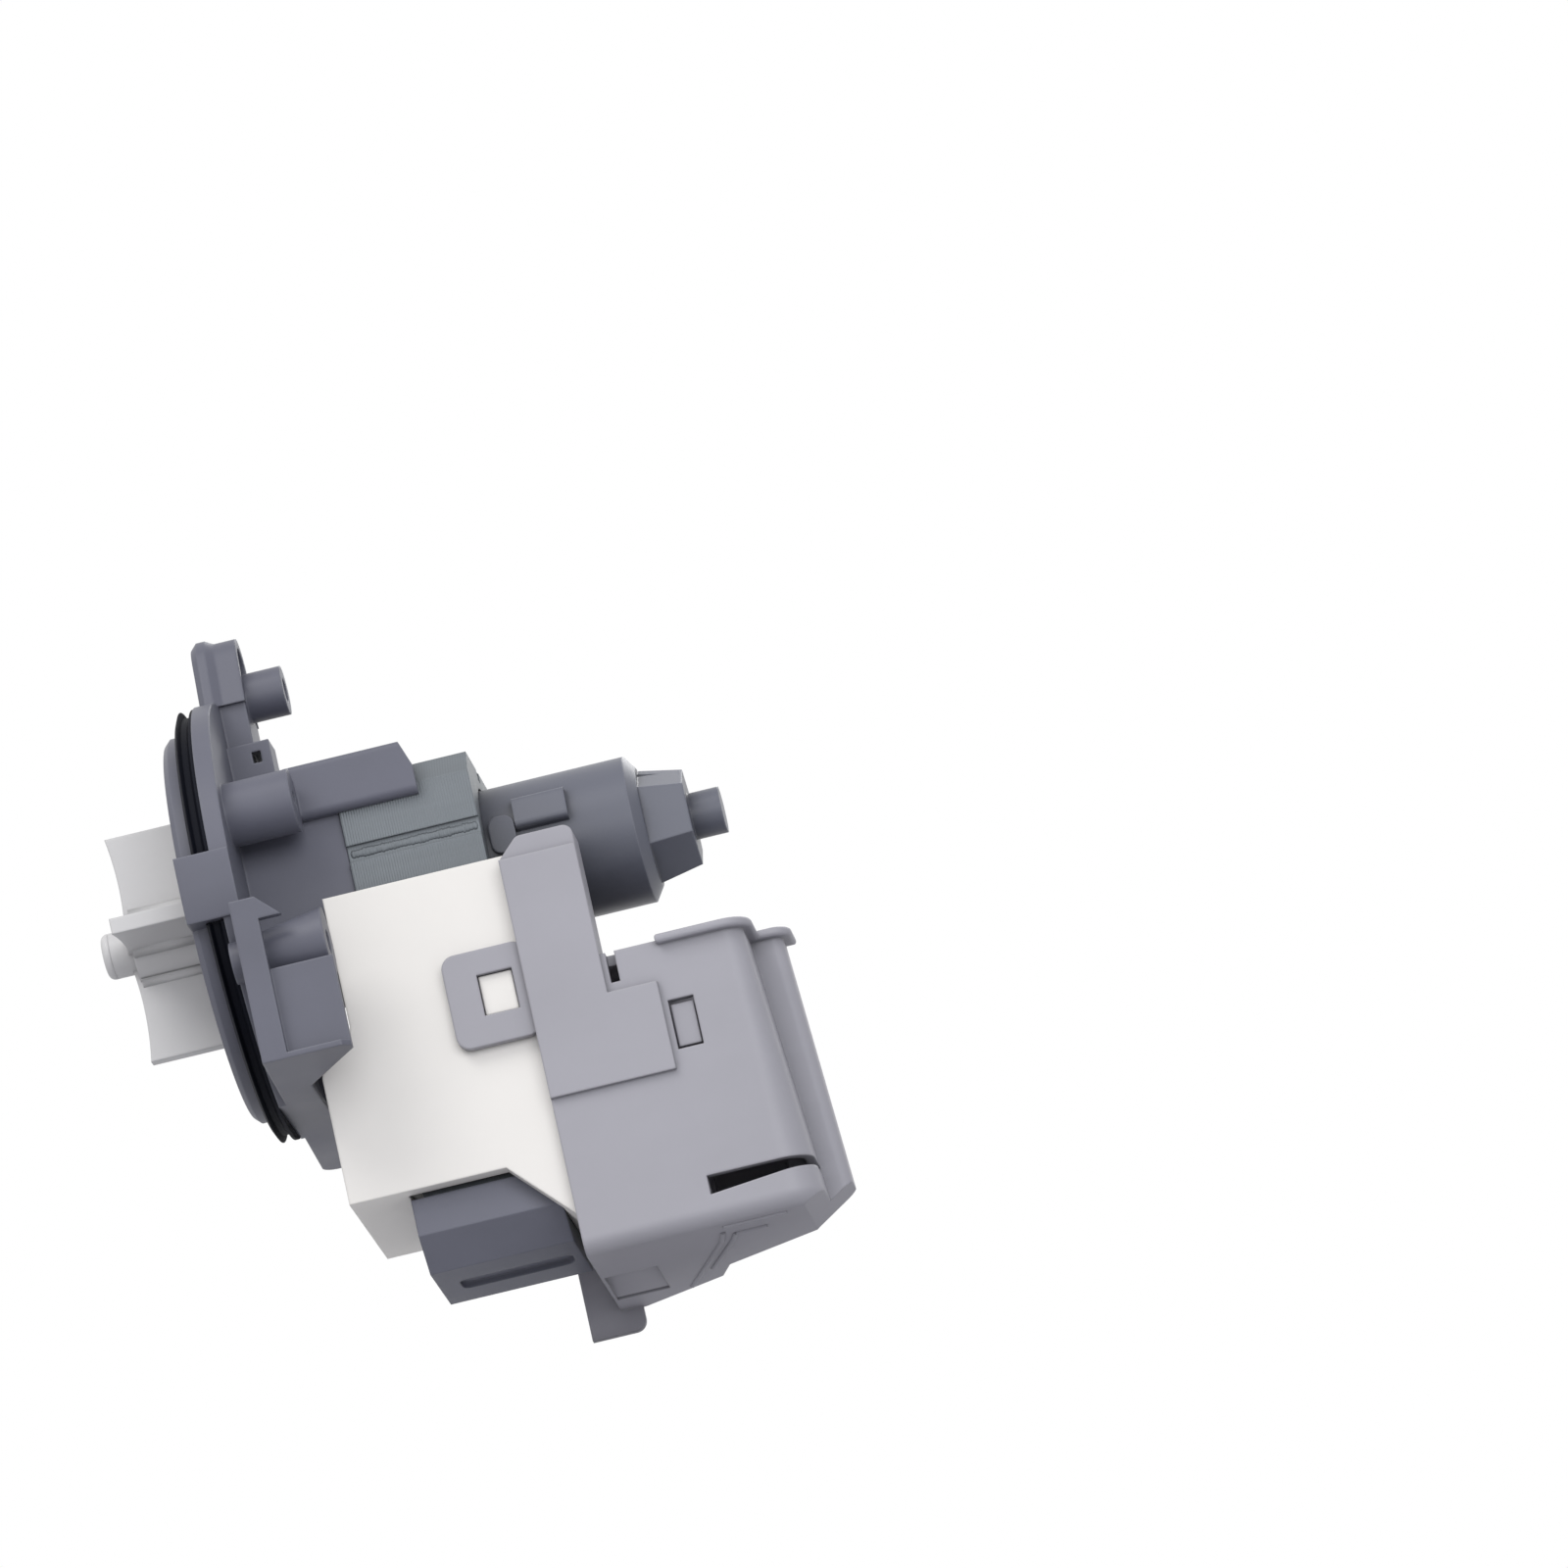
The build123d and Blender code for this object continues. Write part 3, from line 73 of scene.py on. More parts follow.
def makeCamera(s):
    a, e, r = radians(s["azimuth"]), radians(s["elevation"]), radians(s["roll"])
    back = Vector((sin(a) * cos(e), -cos(a) * cos(e), sin(e)))
    right = (-back).cross(Vector((0, 0, 1))).normalized()
    up = right.cross(-back)
    turnedRight = cos(r) * right + sin(r) * up
    turnedUp = cos(r) * up - sin(r) * right
    place = Vector(s["aim"]) + back * s["distance"] - turnedRight * s["sideways"] - turnedUp * s["upwards"]
    data = bpy.data.cameras.new("photoCamera")
    data.sensor_fit = "HORIZONTAL"
    data.sensor_width = s["sensor"]
    data.lens = s["sensor"] * s["distance"] / s["frameWidth"]
    data.clip_end = 20.0
    camera = bpy.data.objects.new("photoCamera", data)
    bpy.context.scene.collection.objects.link(camera)
    turn = Matrix((turnedRight, turnedUp, back)).transposed()
    camera.matrix_world = Matrix.Translation(place) @ turn.to_4x4()
    bpy.context.scene.camera = camera


makeCamera(cameraSettings)
bpy.context.scene.view_settings.view_transform = "Standard"
print("camera placed")


# Small helpers for node trees
def addNode(tree, kind, inputs=(), **settings):
    node = tree.nodes.new(kind)
    for name, value in settings.items():
        setattr(node, name, value)
    for name, value in dict(inputs).items():
        node.inputs[name].default_value = value
    return node


def join(tree, fromSocket, toSocket):
    tree.links.new(fromSocket, toSocket)


def rgba(colour):
    return (*colour, 1.0)


def mixColours(tree, factor, first, second):
    mix = addNode(tree, "ShaderNodeMix", data_type="RGBA")
    join(tree, factor, mix.inputs["Factor"])
    for socket, colour in ((mix.inputs[6], first), (mix.inputs[7], second)):
        if isinstance(colour, tuple):
            socket.default_value = rgba(colour)
        else:
            join(tree, colour, socket)
    return mix.outputs[2]


# Lamps, world and floor
studioSettings = {
    "ambientColour": (0.97, 0.975, 1.0),
    "ambientStrength": 0.6,
    "floorColour": (0.84, 0.84, 0.84),
    "floorGlow": 0.32,
    "lightFromBelow": (0.86, 0.86, 0.88),
    "floorDrop": 0.3 * mm,
    "floorSize": 3.0,
}
lampSettings = {
    "keyLamp": {"place": (-0.45, -0.85, 1.05), "size": 0.9, "watts": 8.4, "colour": (1.0, 0.99, 0.97)},
    "fillLamp": {"place": (0.45, -1.35, 0.12), "size": 1.1, "watts": 11.2, "colour": (0.97, 0.98, 1.0)},
    "rimLamp": {"place": (0.5, 1.1, 0.8), "size": 0.8, "watts": 5.0, "colour": (1.0, 1.0, 1.0)},
}


def makeWorld(s):
    world = bpy.data.worlds.new("studioWorld")
    world.use_nodes = True
    tree = world.node_tree
    tree.nodes.clear()
    ambient = addNode(
        tree,
        "ShaderNodeBackground",
        {"Color": rgba(s["ambientColour"]), "Strength": s["ambientStrength"]},
    )
    white = addNode(tree, "ShaderNodeBackground", {"Color": (1, 1, 1, 1), "Strength": 1.0})
    path = addNode(tree, "ShaderNodeLightPath")
    seenOrMirrored = addNode(tree, "ShaderNodeMath", operation="MAXIMUM")
    backdropRay = addNode(tree, "ShaderNodeMath", operation="MAXIMUM")
    join(tree, path.outputs["Is Camera Ray"], seenOrMirrored.inputs[0])
    join(tree, path.outputs["Is Glossy Ray"], seenOrMirrored.inputs[1])
    join(tree, seenOrMirrored.outputs[0], backdropRay.inputs[0])
    join(tree, path.outputs["Is Transmission Ray"], backdropRay.inputs[1])
    mix = addNode(tree, "ShaderNodeMixShader")
    join(tree, backdropRay.outputs[0], mix.inputs[0])
    join(tree, ambient.outputs[0], mix.inputs[1])
    join(tree, white.outputs[0], mix.inputs[2])
    out = addNode(tree, "ShaderNodeOutputWorld")
    join(tree, mix.outputs[0], out.inputs[0])
    bpy.context.scene.world = world


def makeLamp(name, s):
    data = bpy.data.lights.new(name, "AREA")
    data.shape = "DISK"
    data.size = s["size"]
    data.energy = s["watts"]
    data.color = s["colour"]
    lamp = bpy.data.objects.new(name, data)
    bpy.context.scene.collection.objects.link(lamp)
    lamp.location = s["place"]
    outwards = Vector(s["place"]) - Vector(cameraSettings["aim"])
    lamp.rotation_euler = outwards.to_track_quat("Z", "Y").to_euler()


def makeFloor(s):
    # The photograph looks up at the pump, so the floor's lower face lets the view through.
    # Diffuse rays pass it too, a little dimmed, so that the underside gets light from below.
    half = s["floorSize"] / 2
    z = cadBox[0].z - s["floorDrop"]
    mesh = bpy.data.meshes.new("floor")
    corners = [(-half, -half, z), (half, -half, z), (half, half, z), (-half, half, z)]
    mesh.from_pydata(corners, [], [(0, 1, 2, 3)])
    floor = bpy.data.objects.new("floor", mesh)
    bpy.context.scene.collection.objects.link(floor)
    material = bpy.data.materials.new("paleFloor")
    material.use_nodes = True
    tree = material.node_tree
    tree.nodes.clear()
    matt = addNode(tree, "ShaderNodeBsdfDiffuse", {"Color": rgba(s["floorColour"])})
    glow = addNode(tree, "ShaderNodeEmission", {"Color": (1, 1, 1, 1), "Strength": s["floorGlow"]})
    path = addNode(tree, "ShaderNodeLightPath")
    lit = addNode(tree, "ShaderNodeAddShader")
    seen = addNode(tree, "ShaderNodeMixShader")
    join(tree, matt.outputs[0], lit.inputs[0])
    join(tree, glow.outputs[0], lit.inputs[1])
    join(tree, path.outputs["Is Camera Ray"], seen.inputs[0])
    join(tree, matt.outputs[0], seen.inputs[1])
    join(tree, lit.outputs[0], seen.inputs[2])
    clear = addNode(tree, "ShaderNodeBsdfTransparent")
    passedLight = mixColours(tree, path.outputs["Is Diffuse Ray"], (1.0, 1.0, 1.0), s["lightFromBelow"])
    join(tree, passedLight, clear.inputs["Color"])
    side = addNode(tree, "ShaderNodeNewGeometry")
    passed = addNode(tree, "ShaderNodeMath", operation="MAXIMUM")
    join(tree, side.outputs["Backfacing"], passed.inputs[0])
    join(tree, path.outputs["Is Diffuse Ray"], passed.inputs[1])
    oneSided = addNode(tree, "ShaderNodeMixShader")
    join(tree, passed.outputs[0], oneSided.inputs[0])
    join(tree, seen.outputs[0], oneSided.inputs[1])
    join(tree, clear.outputs[0], oneSided.inputs[2])
    out = addNode(tree, "ShaderNodeOutputMaterial")
    join(tree, oneSided.outputs[0], out.inputs[0])
    mesh.materials.append(material)


makeWorld(studioSettings)
for lampName, lamp in lampSettings.items():
    makeLamp(lampName, lamp)
makeFloor(studioSettings)
print("studio lit")


# Materials
lookSamples = 6  # of the bevel and shelter nodes
noiseMiddle = (0.3, 0.7)  # the part of a noise that is spread over the full range
# shelterRange and shelterReach set the painted shade in corners: how deep a corner must be, and how far
# the shade reaches.
shelterRange = (0.35, 0.95)  # from a deep corner to nearly open
shelterReach = 4.0 * mm
bandScale = 0.3183  # a band texture's scale for bands one metre apart


def startMaterial(name):
    material = bpy.data.materials.new(name)
    material.use_nodes = True
    tree = material.node_tree
    tree.nodes.clear()
    shader = addNode(tree, "ShaderNodeBsdfPrincipled")
    out = addNode(tree, "ShaderNodeOutputMaterial")
    join(tree, shader.outputs[0], out.inputs[0])
    place = addNode(tree, "ShaderNodeTexCoord")
    return material, tree, shader, place.outputs["Object"]


def noiseAt(tree, where, scale, detail=3.0, stretch=(1.0, 1.0, 1.0)):
    spread = addNode(tree, "ShaderNodeMapping", {"Scale": stretch})
    join(tree, where, spread.inputs["Vector"])
    noise = addNode(tree, "ShaderNodeTexNoise", {"Scale": scale, "Detail": detail, "Roughness": 0.55})
    join(tree, spread.outputs[0], noise.inputs["Vector"])
    return noise.outputs["Fac"]


def remap(tree, value, low, high, outLow, outHigh):
    ranger = addNode(
        tree,
        "ShaderNodeMapRange",
        {"From Min": low, "From Max": high, "To Min": outLow, "To Max": outHigh},
    )
    join(tree, value, ranger.inputs["Value"])
    return ranger.outputs[0]


def shaded(colour, amount):
    return tuple(max(0.0, channel * amount) for channel in colour)


def mottled(tree, noise, base, amount):
    low, high = noiseMiddle
    spread = remap(tree, noise, low, high, 0.0, 1.0)
    return mixColours(tree, spread, shaded(base, 1 - amount), shaded(base, 1 + amount))


def roughened(tree, noise, shader, roughness, below, above):
    low, high = noiseMiddle
    rough = remap(tree, noise, low, high, roughness - below, roughness + above)
    join(tree, rough, shader.inputs["Roughness"])


def softEdges(tree, radius):
    # Rounds the look of moulded edges, and gives a mask that is 0 on flats and 1 on an edge.
    bevel = addNode(tree, "ShaderNodeBevel", {"Radius": radius}, samples=lookSamples)
    flat = addNode(tree, "ShaderNodeNewGeometry")
    along = addNode(tree, "ShaderNodeVectorMath", operation="DOT_PRODUCT")
    join(tree, bevel.outputs[0], along.inputs[0])
    join(tree, flat.outputs["Normal"], along.inputs[1])
    mask = remap(tree, along.outputs["Value"], 1.0, 0.8, 0.0, 1.0)
    return bevel.outputs[0], mask


def crevices(tree, reach):
    # 1 in the open and 0 deep in a corner.
    shelter = addNode(tree, "ShaderNodeAmbientOcclusion", {"Distance": reach}, samples=lookSamples)
    return shelter.outputs["AO"]


# Painted shade: darkens the colour where the surface is sheltered, in corners, creases and under
# overhangs, where shade falls.
def paintCornerShade(tree, colour, reach, amount, shade):
    low, high = shelterRange
    sheltered = remap(tree, crevices(tree, reach), low, high, amount, 0.0)
    return mixColours(tree, sheltered, colour, shade)


def mouldedPlastic(name, s):
    material, tree, shader, where = startMaterial(name)
    base = s["colour"]
    cloud = noiseAt(tree, where, 38.0, 4.0)
    flow = noiseAt(tree, where, 60.0, 3.0, s["flow"])
    body = mottled(tree, cloud, base, s["mottle"])
    streak = remap(tree, flow, 0.45, 0.75, 0.0, 0.5)
    streaked = mixColours(tree, streak, body, shaded(base, 1 + 1.6 * s["mottle"]))
    normal, edge = softEdges(tree, s["edgeRadius"])
    # Painted highlight: edges made lighter, standing in for light caught on rounded edges.
    edgeLit = mixColours(tree, remap(tree, edge, 0.1, 1.0, 0.0, s["edgeHighlight"]), streaked, s["edgeHighlightColour"])
    # Painted shade in corners and under overhangs, mixed into the base colour.
    paintedShadeColour = shaded(base, s["paintedShadeTone"])
    cornerShaded = paintCornerShade(tree, edgeLit, s["shelterReach"], s["paintedShade"], paintedShadeColour)
    join(tree, cornerShaded, shader.inputs["Base Color"])
    roughened(tree, cloud, shader, s["roughness"], 0.05, 0.07)
    grain = noiseAt(tree, where, s["grainScale"], 2.0)
    bump = addNode(tree, "ShaderNodeBump", {"Strength": s["grainStrength"], "Distance": s["grainDepth"]})
    join(tree, grain, bump.inputs["Height"])
    join(tree, normal, bump.inputs["Normal"])
    join(tree, bump.outputs[0], shader.inputs["Normal"])
    shader.inputs["Specular IOR Level"].default_value = s["specular"]
    return material


# What most of the plastics share
plasticDefaults = {
    # painted highlight on edges: how strong
    "edgeHighlight": 0.3,
    "grainScale": 2400.0,
    "grainStrength": 0.2,
    "grainDepth": 0.05 * mm,
    "edgeRadius": 0.5 * mm,
    # painted shade in corners and under overhangs: how strong, how dark and how far it reaches
    "paintedShade": 0.4,
    "paintedShadeTone": 0.35,
    "shelterReach": shelterReach,
    "flow": (0.35, 1.0, 1.0),
    "specular": 0.4,
}
plasticSettings = {
    "flangePlastic": {
        "colour": (0.109, 0.112, 0.144), "roughness": 0.46, "mottle": 0.1, "edgeRadius": 0.6 * mm,
        "edgeHighlight": 0.5, "edgeHighlightColour": (0.27, 0.275, 0.315), "paintedShade": 0.15, "grainScale": 2600.0,
        "grainStrength": 0.22,
    },
    "chamberPlastic": {
        "colour": (0.112, 0.118, 0.148), "roughness": 0.38, "mottle": 0.08, "edgeHighlight": 0.55,
        # Painted shade: the long reach darkens the tube's underside, where the cover overhangs it.
        "edgeHighlightColour": (0.3, 0.305, 0.35), "paintedShade": 0.8, "paintedShadeTone": 0.22, "shelterReach": 20.0 * mm,
        "grainScale": 2600.0, "flow": (0.12, 1.0, 1.0),
    },
    "shoePlastic": {
        "colour": (0.14, 0.144, 0.18), "roughness": 0.5, "mottle": 0.08,
        "edgeHighlightColour": (0.24, 0.25, 0.28), "paintedShade": 0.25, "grainStrength": 0.25,
    },
    "coverPlastic": {
        "colour": (0.335, 0.33, 0.366), "roughness": 0.5, "mottle": 0.045, "edgeRadius": 0.6 * mm,
        "edgeHighlight": 0.4, "edgeHighlightColour": (0.46, 0.455, 0.48), "paintedShade": 0.5,
    },
    "jacketPlastic": {
        "colour": (0.795, 0.773, 0.742), "roughness": 0.42, "mottle": 0.02, "edgeRadius": 0.6 * mm,
        "edgeHighlight": 0.2, "edgeHighlightColour": (0.88, 0.86, 0.83), "paintedShade": 0.12, "paintedShadeTone": 0.6,
        "grainScale": 2200.0, "grainStrength": 0.15, "grainDepth": 0.04 * mm,
    },
    "impellerPlastic": {
        "colour": (0.6, 0.595, 0.6), "roughness": 0.45, "mottle": 0.03, "edgeRadius": 0.6 * mm,
        "edgeHighlight": 0.25, "edgeHighlightColour": (0.72, 0.72, 0.73), "grainStrength": 0.18,
    },
    "innerWhitePlastic": {
        "colour": (0.68, 0.67, 0.63), "roughness": 0.45, "mottle": 0.03, "edgeRadius": 0.4 * mm,
        "edgeHighlight": 0.2, "edgeHighlightColour": (0.8, 0.79, 0.76), "grainStrength": 0.18,
    },
    "blackPlastic": {
        "colour": (0.02, 0.02, 0.021), "roughness": 0.5, "mottle": 0.1, "edgeRadius": 0.3 * mm,
        "edgeHighlightColour": (0.07, 0.07, 0.075), "paintedShade": 0.3,
    },
    "sealRubber": {
        "colour": (0.004, 0.005, 0.01), "roughness": 0.66, "mottle": 0.18, "edgeRadius": 0.35 * mm,
        "edgeHighlightColour": (0.025, 0.023, 0.03), "grainScale": 1500.0, "grainStrength": 0.35,
        "grainDepth": 0.06 * mm, "specular": 0.12,
    },
}
finishes = {name: mouldedPlastic(name, {**plasticDefaults, **s}) for name, s in plasticSettings.items()}
print("plastics mixed:", len(finishes))

metalSettings = {
    "coreSteel": {
        "colour": (0.145, 0.162, 0.178), "metallic": 0.25, "roughness": 0.42, "line": 0.5 * mm,
        "lineShade": 0.8, "blotch": 0.16, "bump": 0.2, "stretch": (0.08, 1.0, 1.0),
    },
    "weldSteel": {
        "colour": (0.135, 0.15, 0.165), "metallic": 0.4, "roughness": 0.48, "line": 0.4 * mm,
        "lineShade": 0.8, "blotch": 0.2, "bump": 0.3, "stretch": (1.0, 1.0, 1.0),
    },
    "shaftSteel": {
        "colour": (0.56, 0.56, 0.57), "metallic": 1.0, "roughness": 0.28, "line": 0.12 * mm,
        "lineShade": 0.9, "blotch": 0.05, "bump": 0.15, "stretch": (1.0, 0.2, 0.2),
    },
    "terminalBrass": {
        "colour": (0.72, 0.68, 0.58), "metallic": 1.0, "roughness": 0.34, "line": 0.2 * mm,
        "lineShade": 0.94, "blotch": 0.08, "bump": 0.1, "stretch": (1.0, 1.0, 0.1),
    },
    "windingCopper": {
        "colour": (0.55, 0.2, 0.08), "metallic": 0.8, "roughness": 0.32, "line": 0.25 * mm,
        "lineShade": 0.6, "blotch": 0.1, "bump": 0.5, "stretch": (1.0, 1.0, 1.0),
    },
    "magnetFerrite": {
        "colour": (0.055, 0.055, 0.06), "metallic": 0.1, "roughness": 0.55, "line": 0.3 * mm,
        "lineShade": 0.9, "blotch": 0.15, "bump": 0.15, "stretch": (1.0, 1.0, 1.0),
    },
    "groundCeramic": {
        "colour": (0.74, 0.73, 0.7), "metallic": 0.0, "roughness": 0.3, "line": 0.25 * mm,
        "lineShade": 0.95, "blotch": 0.05, "bump": 0.1, "stretch": (1.0, 1.0, 1.0),
    },
}


def linedMetal(name, s, lineAxis="X"):
    material, tree, shader, where = startMaterial(name)
    wave = addNode(
        tree,
        "ShaderNodeTexWave",
        {"Scale": bandScale / s["line"], "Distortion": 0.4, "Detail": 1.0},
        wave_type="BANDS",
        bands_direction=lineAxis,
        wave_profile="SIN",
    )
    join(tree, where, wave.inputs["Vector"])
    blotch = noiseAt(tree, where, 160.0, 4.0, s["stretch"])
    base = s["colour"]
    tone = mottled(tree, blotch, base, s["blotch"])
    line = remap(tree, wave.outputs["Fac"], 0.0, 0.35, 0.55, 0.0)
    lined = mixColours(tree, line, tone, shaded(base, s["lineShade"]))
    normal, edge = softEdges(tree, 0.3 * mm)
    # Painted highlight: lighter colour along the edges of the metal parts.
    edgeLit = mixColours(tree, remap(tree, edge, 0.2, 1.0, 0.0, 0.35), lined, shaded(base, 1.6))
    # Painted shade in the corners and crevices of the metal parts.
    cornerShaded = paintCornerShade(tree, edgeLit, shelterReach, 0.5, shaded(base, 0.3))
    join(tree, cornerShaded, shader.inputs["Base Color"])
    roughened(tree, blotch, shader, s["roughness"], 0.06, 0.08)
    shader.inputs["Metallic"].default_value = s["metallic"]
    bump = addNode(tree, "ShaderNodeBump", {"Strength": s["bump"], "Distance": 0.03 * mm})
    join(tree, wave.outputs["Fac"], bump.inputs["Height"])
    join(tree, normal, bump.inputs["Normal"])
    join(tree, bump.outputs[0], shader.inputs["Normal"])
    return material


lineDirections = {"terminalBrass": "Z", "windingCopper": "Z"}
for finishName, finish in metalSettings.items():
    finishes[finishName] = linedMetal(finishName, finish, lineDirections.get(finishName, "X"))
print("metals mixed:", len(metalSettings))

finishOfSlot = {
    "dark_grey_plastic": "flangePlastic",
    "slate_grey_plastic": "shoePlastic",
    "black_rubber": "sealRubber",
    "white_plastic": "innerWhitePlastic",
    "jacket_plastic": "jacketPlastic",
    "impeller_plastic": "impellerPlastic",
    "light_grey_plastic": "coverPlastic",
    "black_plastic": "blackPlastic",
    "bearing_ceramic": "groundCeramic",
    "shaft_steel": "shaftSteel",
    "ferrite": "magnetFerrite",
    "core_steel": "coreSteel",
    "copper_wire": "windingCopper",
    "tinned_brass": "terminalBrass",
}
finishOfNode = {"rotor_chamber": "chamberPlastic"}
for part in frame["record"]["subparts"]:
    finishName = finishOfNode.get(part["node"], finishOfSlot[part["material_slot"]])
    for slot in frame["nodes"][part["node"]].material_slots:
        slot.material = finishes[finishName]
print("finishes given to the nodes")


# Pieces grown by node trees: each starts from a small mesh and ends as a plain one
def startMesh(name, points, edges=(), faces=()):
    mesh = bpy.data.meshes.new(name)
    mesh.from_pydata(points, edges, faces)
    return mesh


def chain(points):
    # A mesh of one open line through the points.
    return points, [(index, index + 1) for index in range(len(points) - 1)]


def growPiece(name, mesh, sizes, fillTree, finishName, body):
    tree = bpy.data.node_groups.new(name, "GeometryNodeTree")
    tree.interface.new_socket("Geometry", in_out="INPUT", socket_type="NodeSocketGeometry")
    for label, value in sizes.items():
        kind = "NodeSocketInt" if isinstance(value, int) else "NodeSocketFloat"
        tree.interface.new_socket(label, in_out="INPUT", socket_type=kind)
    tree.interface.new_socket("Geometry", in_out="OUTPUT", socket_type="NodeSocketGeometry")
    given = addNode(tree, "NodeGroupInput")
    grown = fillTree(tree, given.outputs)
    real = addNode(tree, "GeometryNodeRealizeInstances")
    painted = addNode(tree, "GeometryNodeSetMaterial", {"Material": finishes[finishName]})
    out = addNode(tree, "NodeGroupOutput")
    join(tree, grown, real.inputs["Geometry"])
    join(tree, real.outputs["Geometry"], painted.inputs["Geometry"])
    join(tree, painted.outputs["Geometry"], out.inputs["Geometry"])
    piece = bpy.data.objects.new(name, mesh)
    bpy.context.scene.collection.objects.link(piece)
    modifier = piece.modifiers.new(name, "NODES")
    modifier.node_group = tree
    for item in tree.interface.items_tree:
        if item.in_out == "INPUT" and item.name in sizes:
            modifier[item.identifier] = sizes[item.name]
    depsgraph = bpy.context.evaluated_depsgraph_get()
    result = bpy.data.meshes.new_from_object(piece.evaluated_get(depsgraph))
    piece.modifiers.remove(modifier)
    piece.data = result
    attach(piece, body)
    print(name, "grown:", len(result.polygons), "faces")
    return piece


barSides = 8


def roundBar(tree, path, radius):
    # A round bar along the lines of a mesh.
    line = addNode(tree, "GeometryNodeMeshToCurve")
    join(tree, path, line.inputs["Mesh"])
    ring = addNode(tree, "GeometryNodeCurvePrimitiveCircle", {"Resolution": barSides}, mode="RADIUS")
    join(tree, radius, ring.inputs["Radius"])
    bar = addNode(tree, "GeometryNodeCurveToMesh", {"Fill Caps": True})
    join(tree, line.outputs["Curve"], bar.inputs["Curve"])
    join(tree, ring.outputs["Curve"], bar.inputs["Profile Curve"])
    return bar.outputs["Mesh"]


def rowOfPoints(tree, count, pitch):
    row = addNode(tree, "GeometryNodeMeshLine", mode="OFFSET")
    step = addNode(tree, "ShaderNodeCombineXYZ")
    join(tree, pitch, step.inputs["X"])
    join(tree, count, row.inputs["Count"])
    join(tree, step.outputs["Vector"], row.inputs["Offset"])
    return row.outputs["Mesh"]


def placeOn(tree, points, shape, **extra):
    spread = addNode(tree, "GeometryNodeInstanceOnPoints")
    join(tree, points, spread.inputs["Points"])
    join(tree, shape, spread.inputs["Instance"])
    for name, socket in extra.items():
        join(tree, socket, spread.inputs[name])
    return spread.outputs["Instances"]


# Sheet edges of the stator stack, one fine ridge for each lamination
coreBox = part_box("pole_core")
sheetSettings = {
    "pitch": 0.5 * mm,
    "ridgeRadius": 0.16 * mm,
    "ridgeProud": 0.04 * mm,
    "corner": 4.6 * mm,  # the stack's cut top corners
    "notchHigh": 4.7 * mm,
    "notchLow": 1.3 * mm,
    "lowEnd": -5.0 * mm,
}


def sheetPaths(s):
    inset = s["ridgeRadius"] - s["ridgeProud"]
    side = coreBox[1].y - inset
    top = coreBox[1].z - inset
    firstX = coreBox[0].x + s["pitch"] / 2
    over = [
        (firstX, -side, s["notchHigh"]),
        (firstX, -side, top - s["corner"]),
        (firstX, -side + s["corner"], top),
        (firstX, side - s["corner"], top),
        (firstX, side, top - s["corner"]),
        (firstX, side, s["notchHigh"]),
    ]
    points, edges = chain(over)
    for y in (-side, side):
        start = len(points)
        points += [(firstX, y, s["notchLow"]), (firstX, y, s["lowEnd"])]
        edges.append((start, start + 1))
    return startMesh("sheetPaths", points, edges)


def sheetTree(tree, given):
    ridge = roundBar(tree, given["Geometry"], given["Ridge Radius"])
    return placeOn(tree, rowOfPoints(tree, given["Sheets"], given["Pitch"]), ridge)


sheetCount = round((coreBox[1].x - coreBox[0].x) / sheetSettings["pitch"])
growPiece(
    "sheetEdges",
    sheetPaths(sheetSettings),
    {"Sheets": sheetCount, "Pitch": sheetSettings["pitch"], "Ridge Radius": sheetSettings["ridgeRadius"]},
    sheetTree,
    "coreSteel",
    "pump",
)

# Weld beads that hold the sheets together, one row in each side notch of the stack
weldSettings = {
    "depth": 0.75 * mm,  # from the stack's side to the notch's floor
    "height": 3.0 * mm,
    "endGap": 1.0 * mm,
    "pitch": 0.7 * mm,
    "radius": 0.7 * mm,
    "flattening": (0.9, 0.4, 1.3),
    "smallest": (0.9, 0.85, 0.85),
    "largest": (1.1, 1.1, 1.1),
    "seed": 7,
    "segments": 14,
    "rings": 9,
}


def weldTree(tree, given):
    row = rowOfPoints(tree, given["Beads"], given["Pitch"])
    rows = addNode(tree, "GeometryNodeRealizeInstances")
    join(tree, placeOn(tree, given["Geometry"], row), rows.inputs["Geometry"])
    s = weldSettings
    bead = addNode(tree, "GeometryNodeMeshUVSphere", {"Segments": s["segments"], "Rings": s["rings"]})
    join(tree, given["Radius"], bead.inputs["Radius"])
    flat = addNode(tree, "GeometryNodeTransform", {"Scale": s["flattening"]})
    join(tree, bead.outputs["Mesh"], flat.inputs["Geometry"])
    smooth = addNode(tree, "GeometryNodeSetShadeSmooth")
    join(tree, flat.outputs["Geometry"], smooth.inputs["Geometry"])
    varied = addNode(tree, "FunctionNodeRandomValue", {"Seed": s["seed"]}, data_type="FLOAT_VECTOR")
    varied.inputs[0].default_value = s["smallest"]
    varied.inputs[1].default_value = s["largest"]
    return placeOn(tree, rows.outputs["Geometry"], smooth.outputs["Geometry"], Scale=varied.outputs[0])


weldSide = coreBox[1].y - weldSettings["depth"]
weldStart = coreBox[0].x + weldSettings["endGap"]
weldLength = coreBox[1].x - coreBox[0].x - 2 * weldSettings["endGap"]
growPiece(
    "weldBeads",
    startMesh("weldStarts", [(weldStart, y, weldSettings["height"]) for y in (-weldSide, weldSide)]),
    {
        "Beads": round(weldLength / weldSettings["pitch"]) + 1,
        "Pitch": weldSettings["pitch"],
        "Radius": weldSettings["radius"],
    },
    weldTree,
    "weldSteel",
    "pump",
)

# Fillets where the impeller's four blades leave the hub
filletSettings = {
    "hubTop": 6.4 * mm,  # height of the hub beside the blade
    "bladeHalf": 1.5 * mm,
    "radius": 1.4 * mm,
    "sunk": 0.15 * mm,
    "front": -21.3 * mm,
    "rear": -3.85 * mm,
    "steps": 6,
    "blades": 4,
}


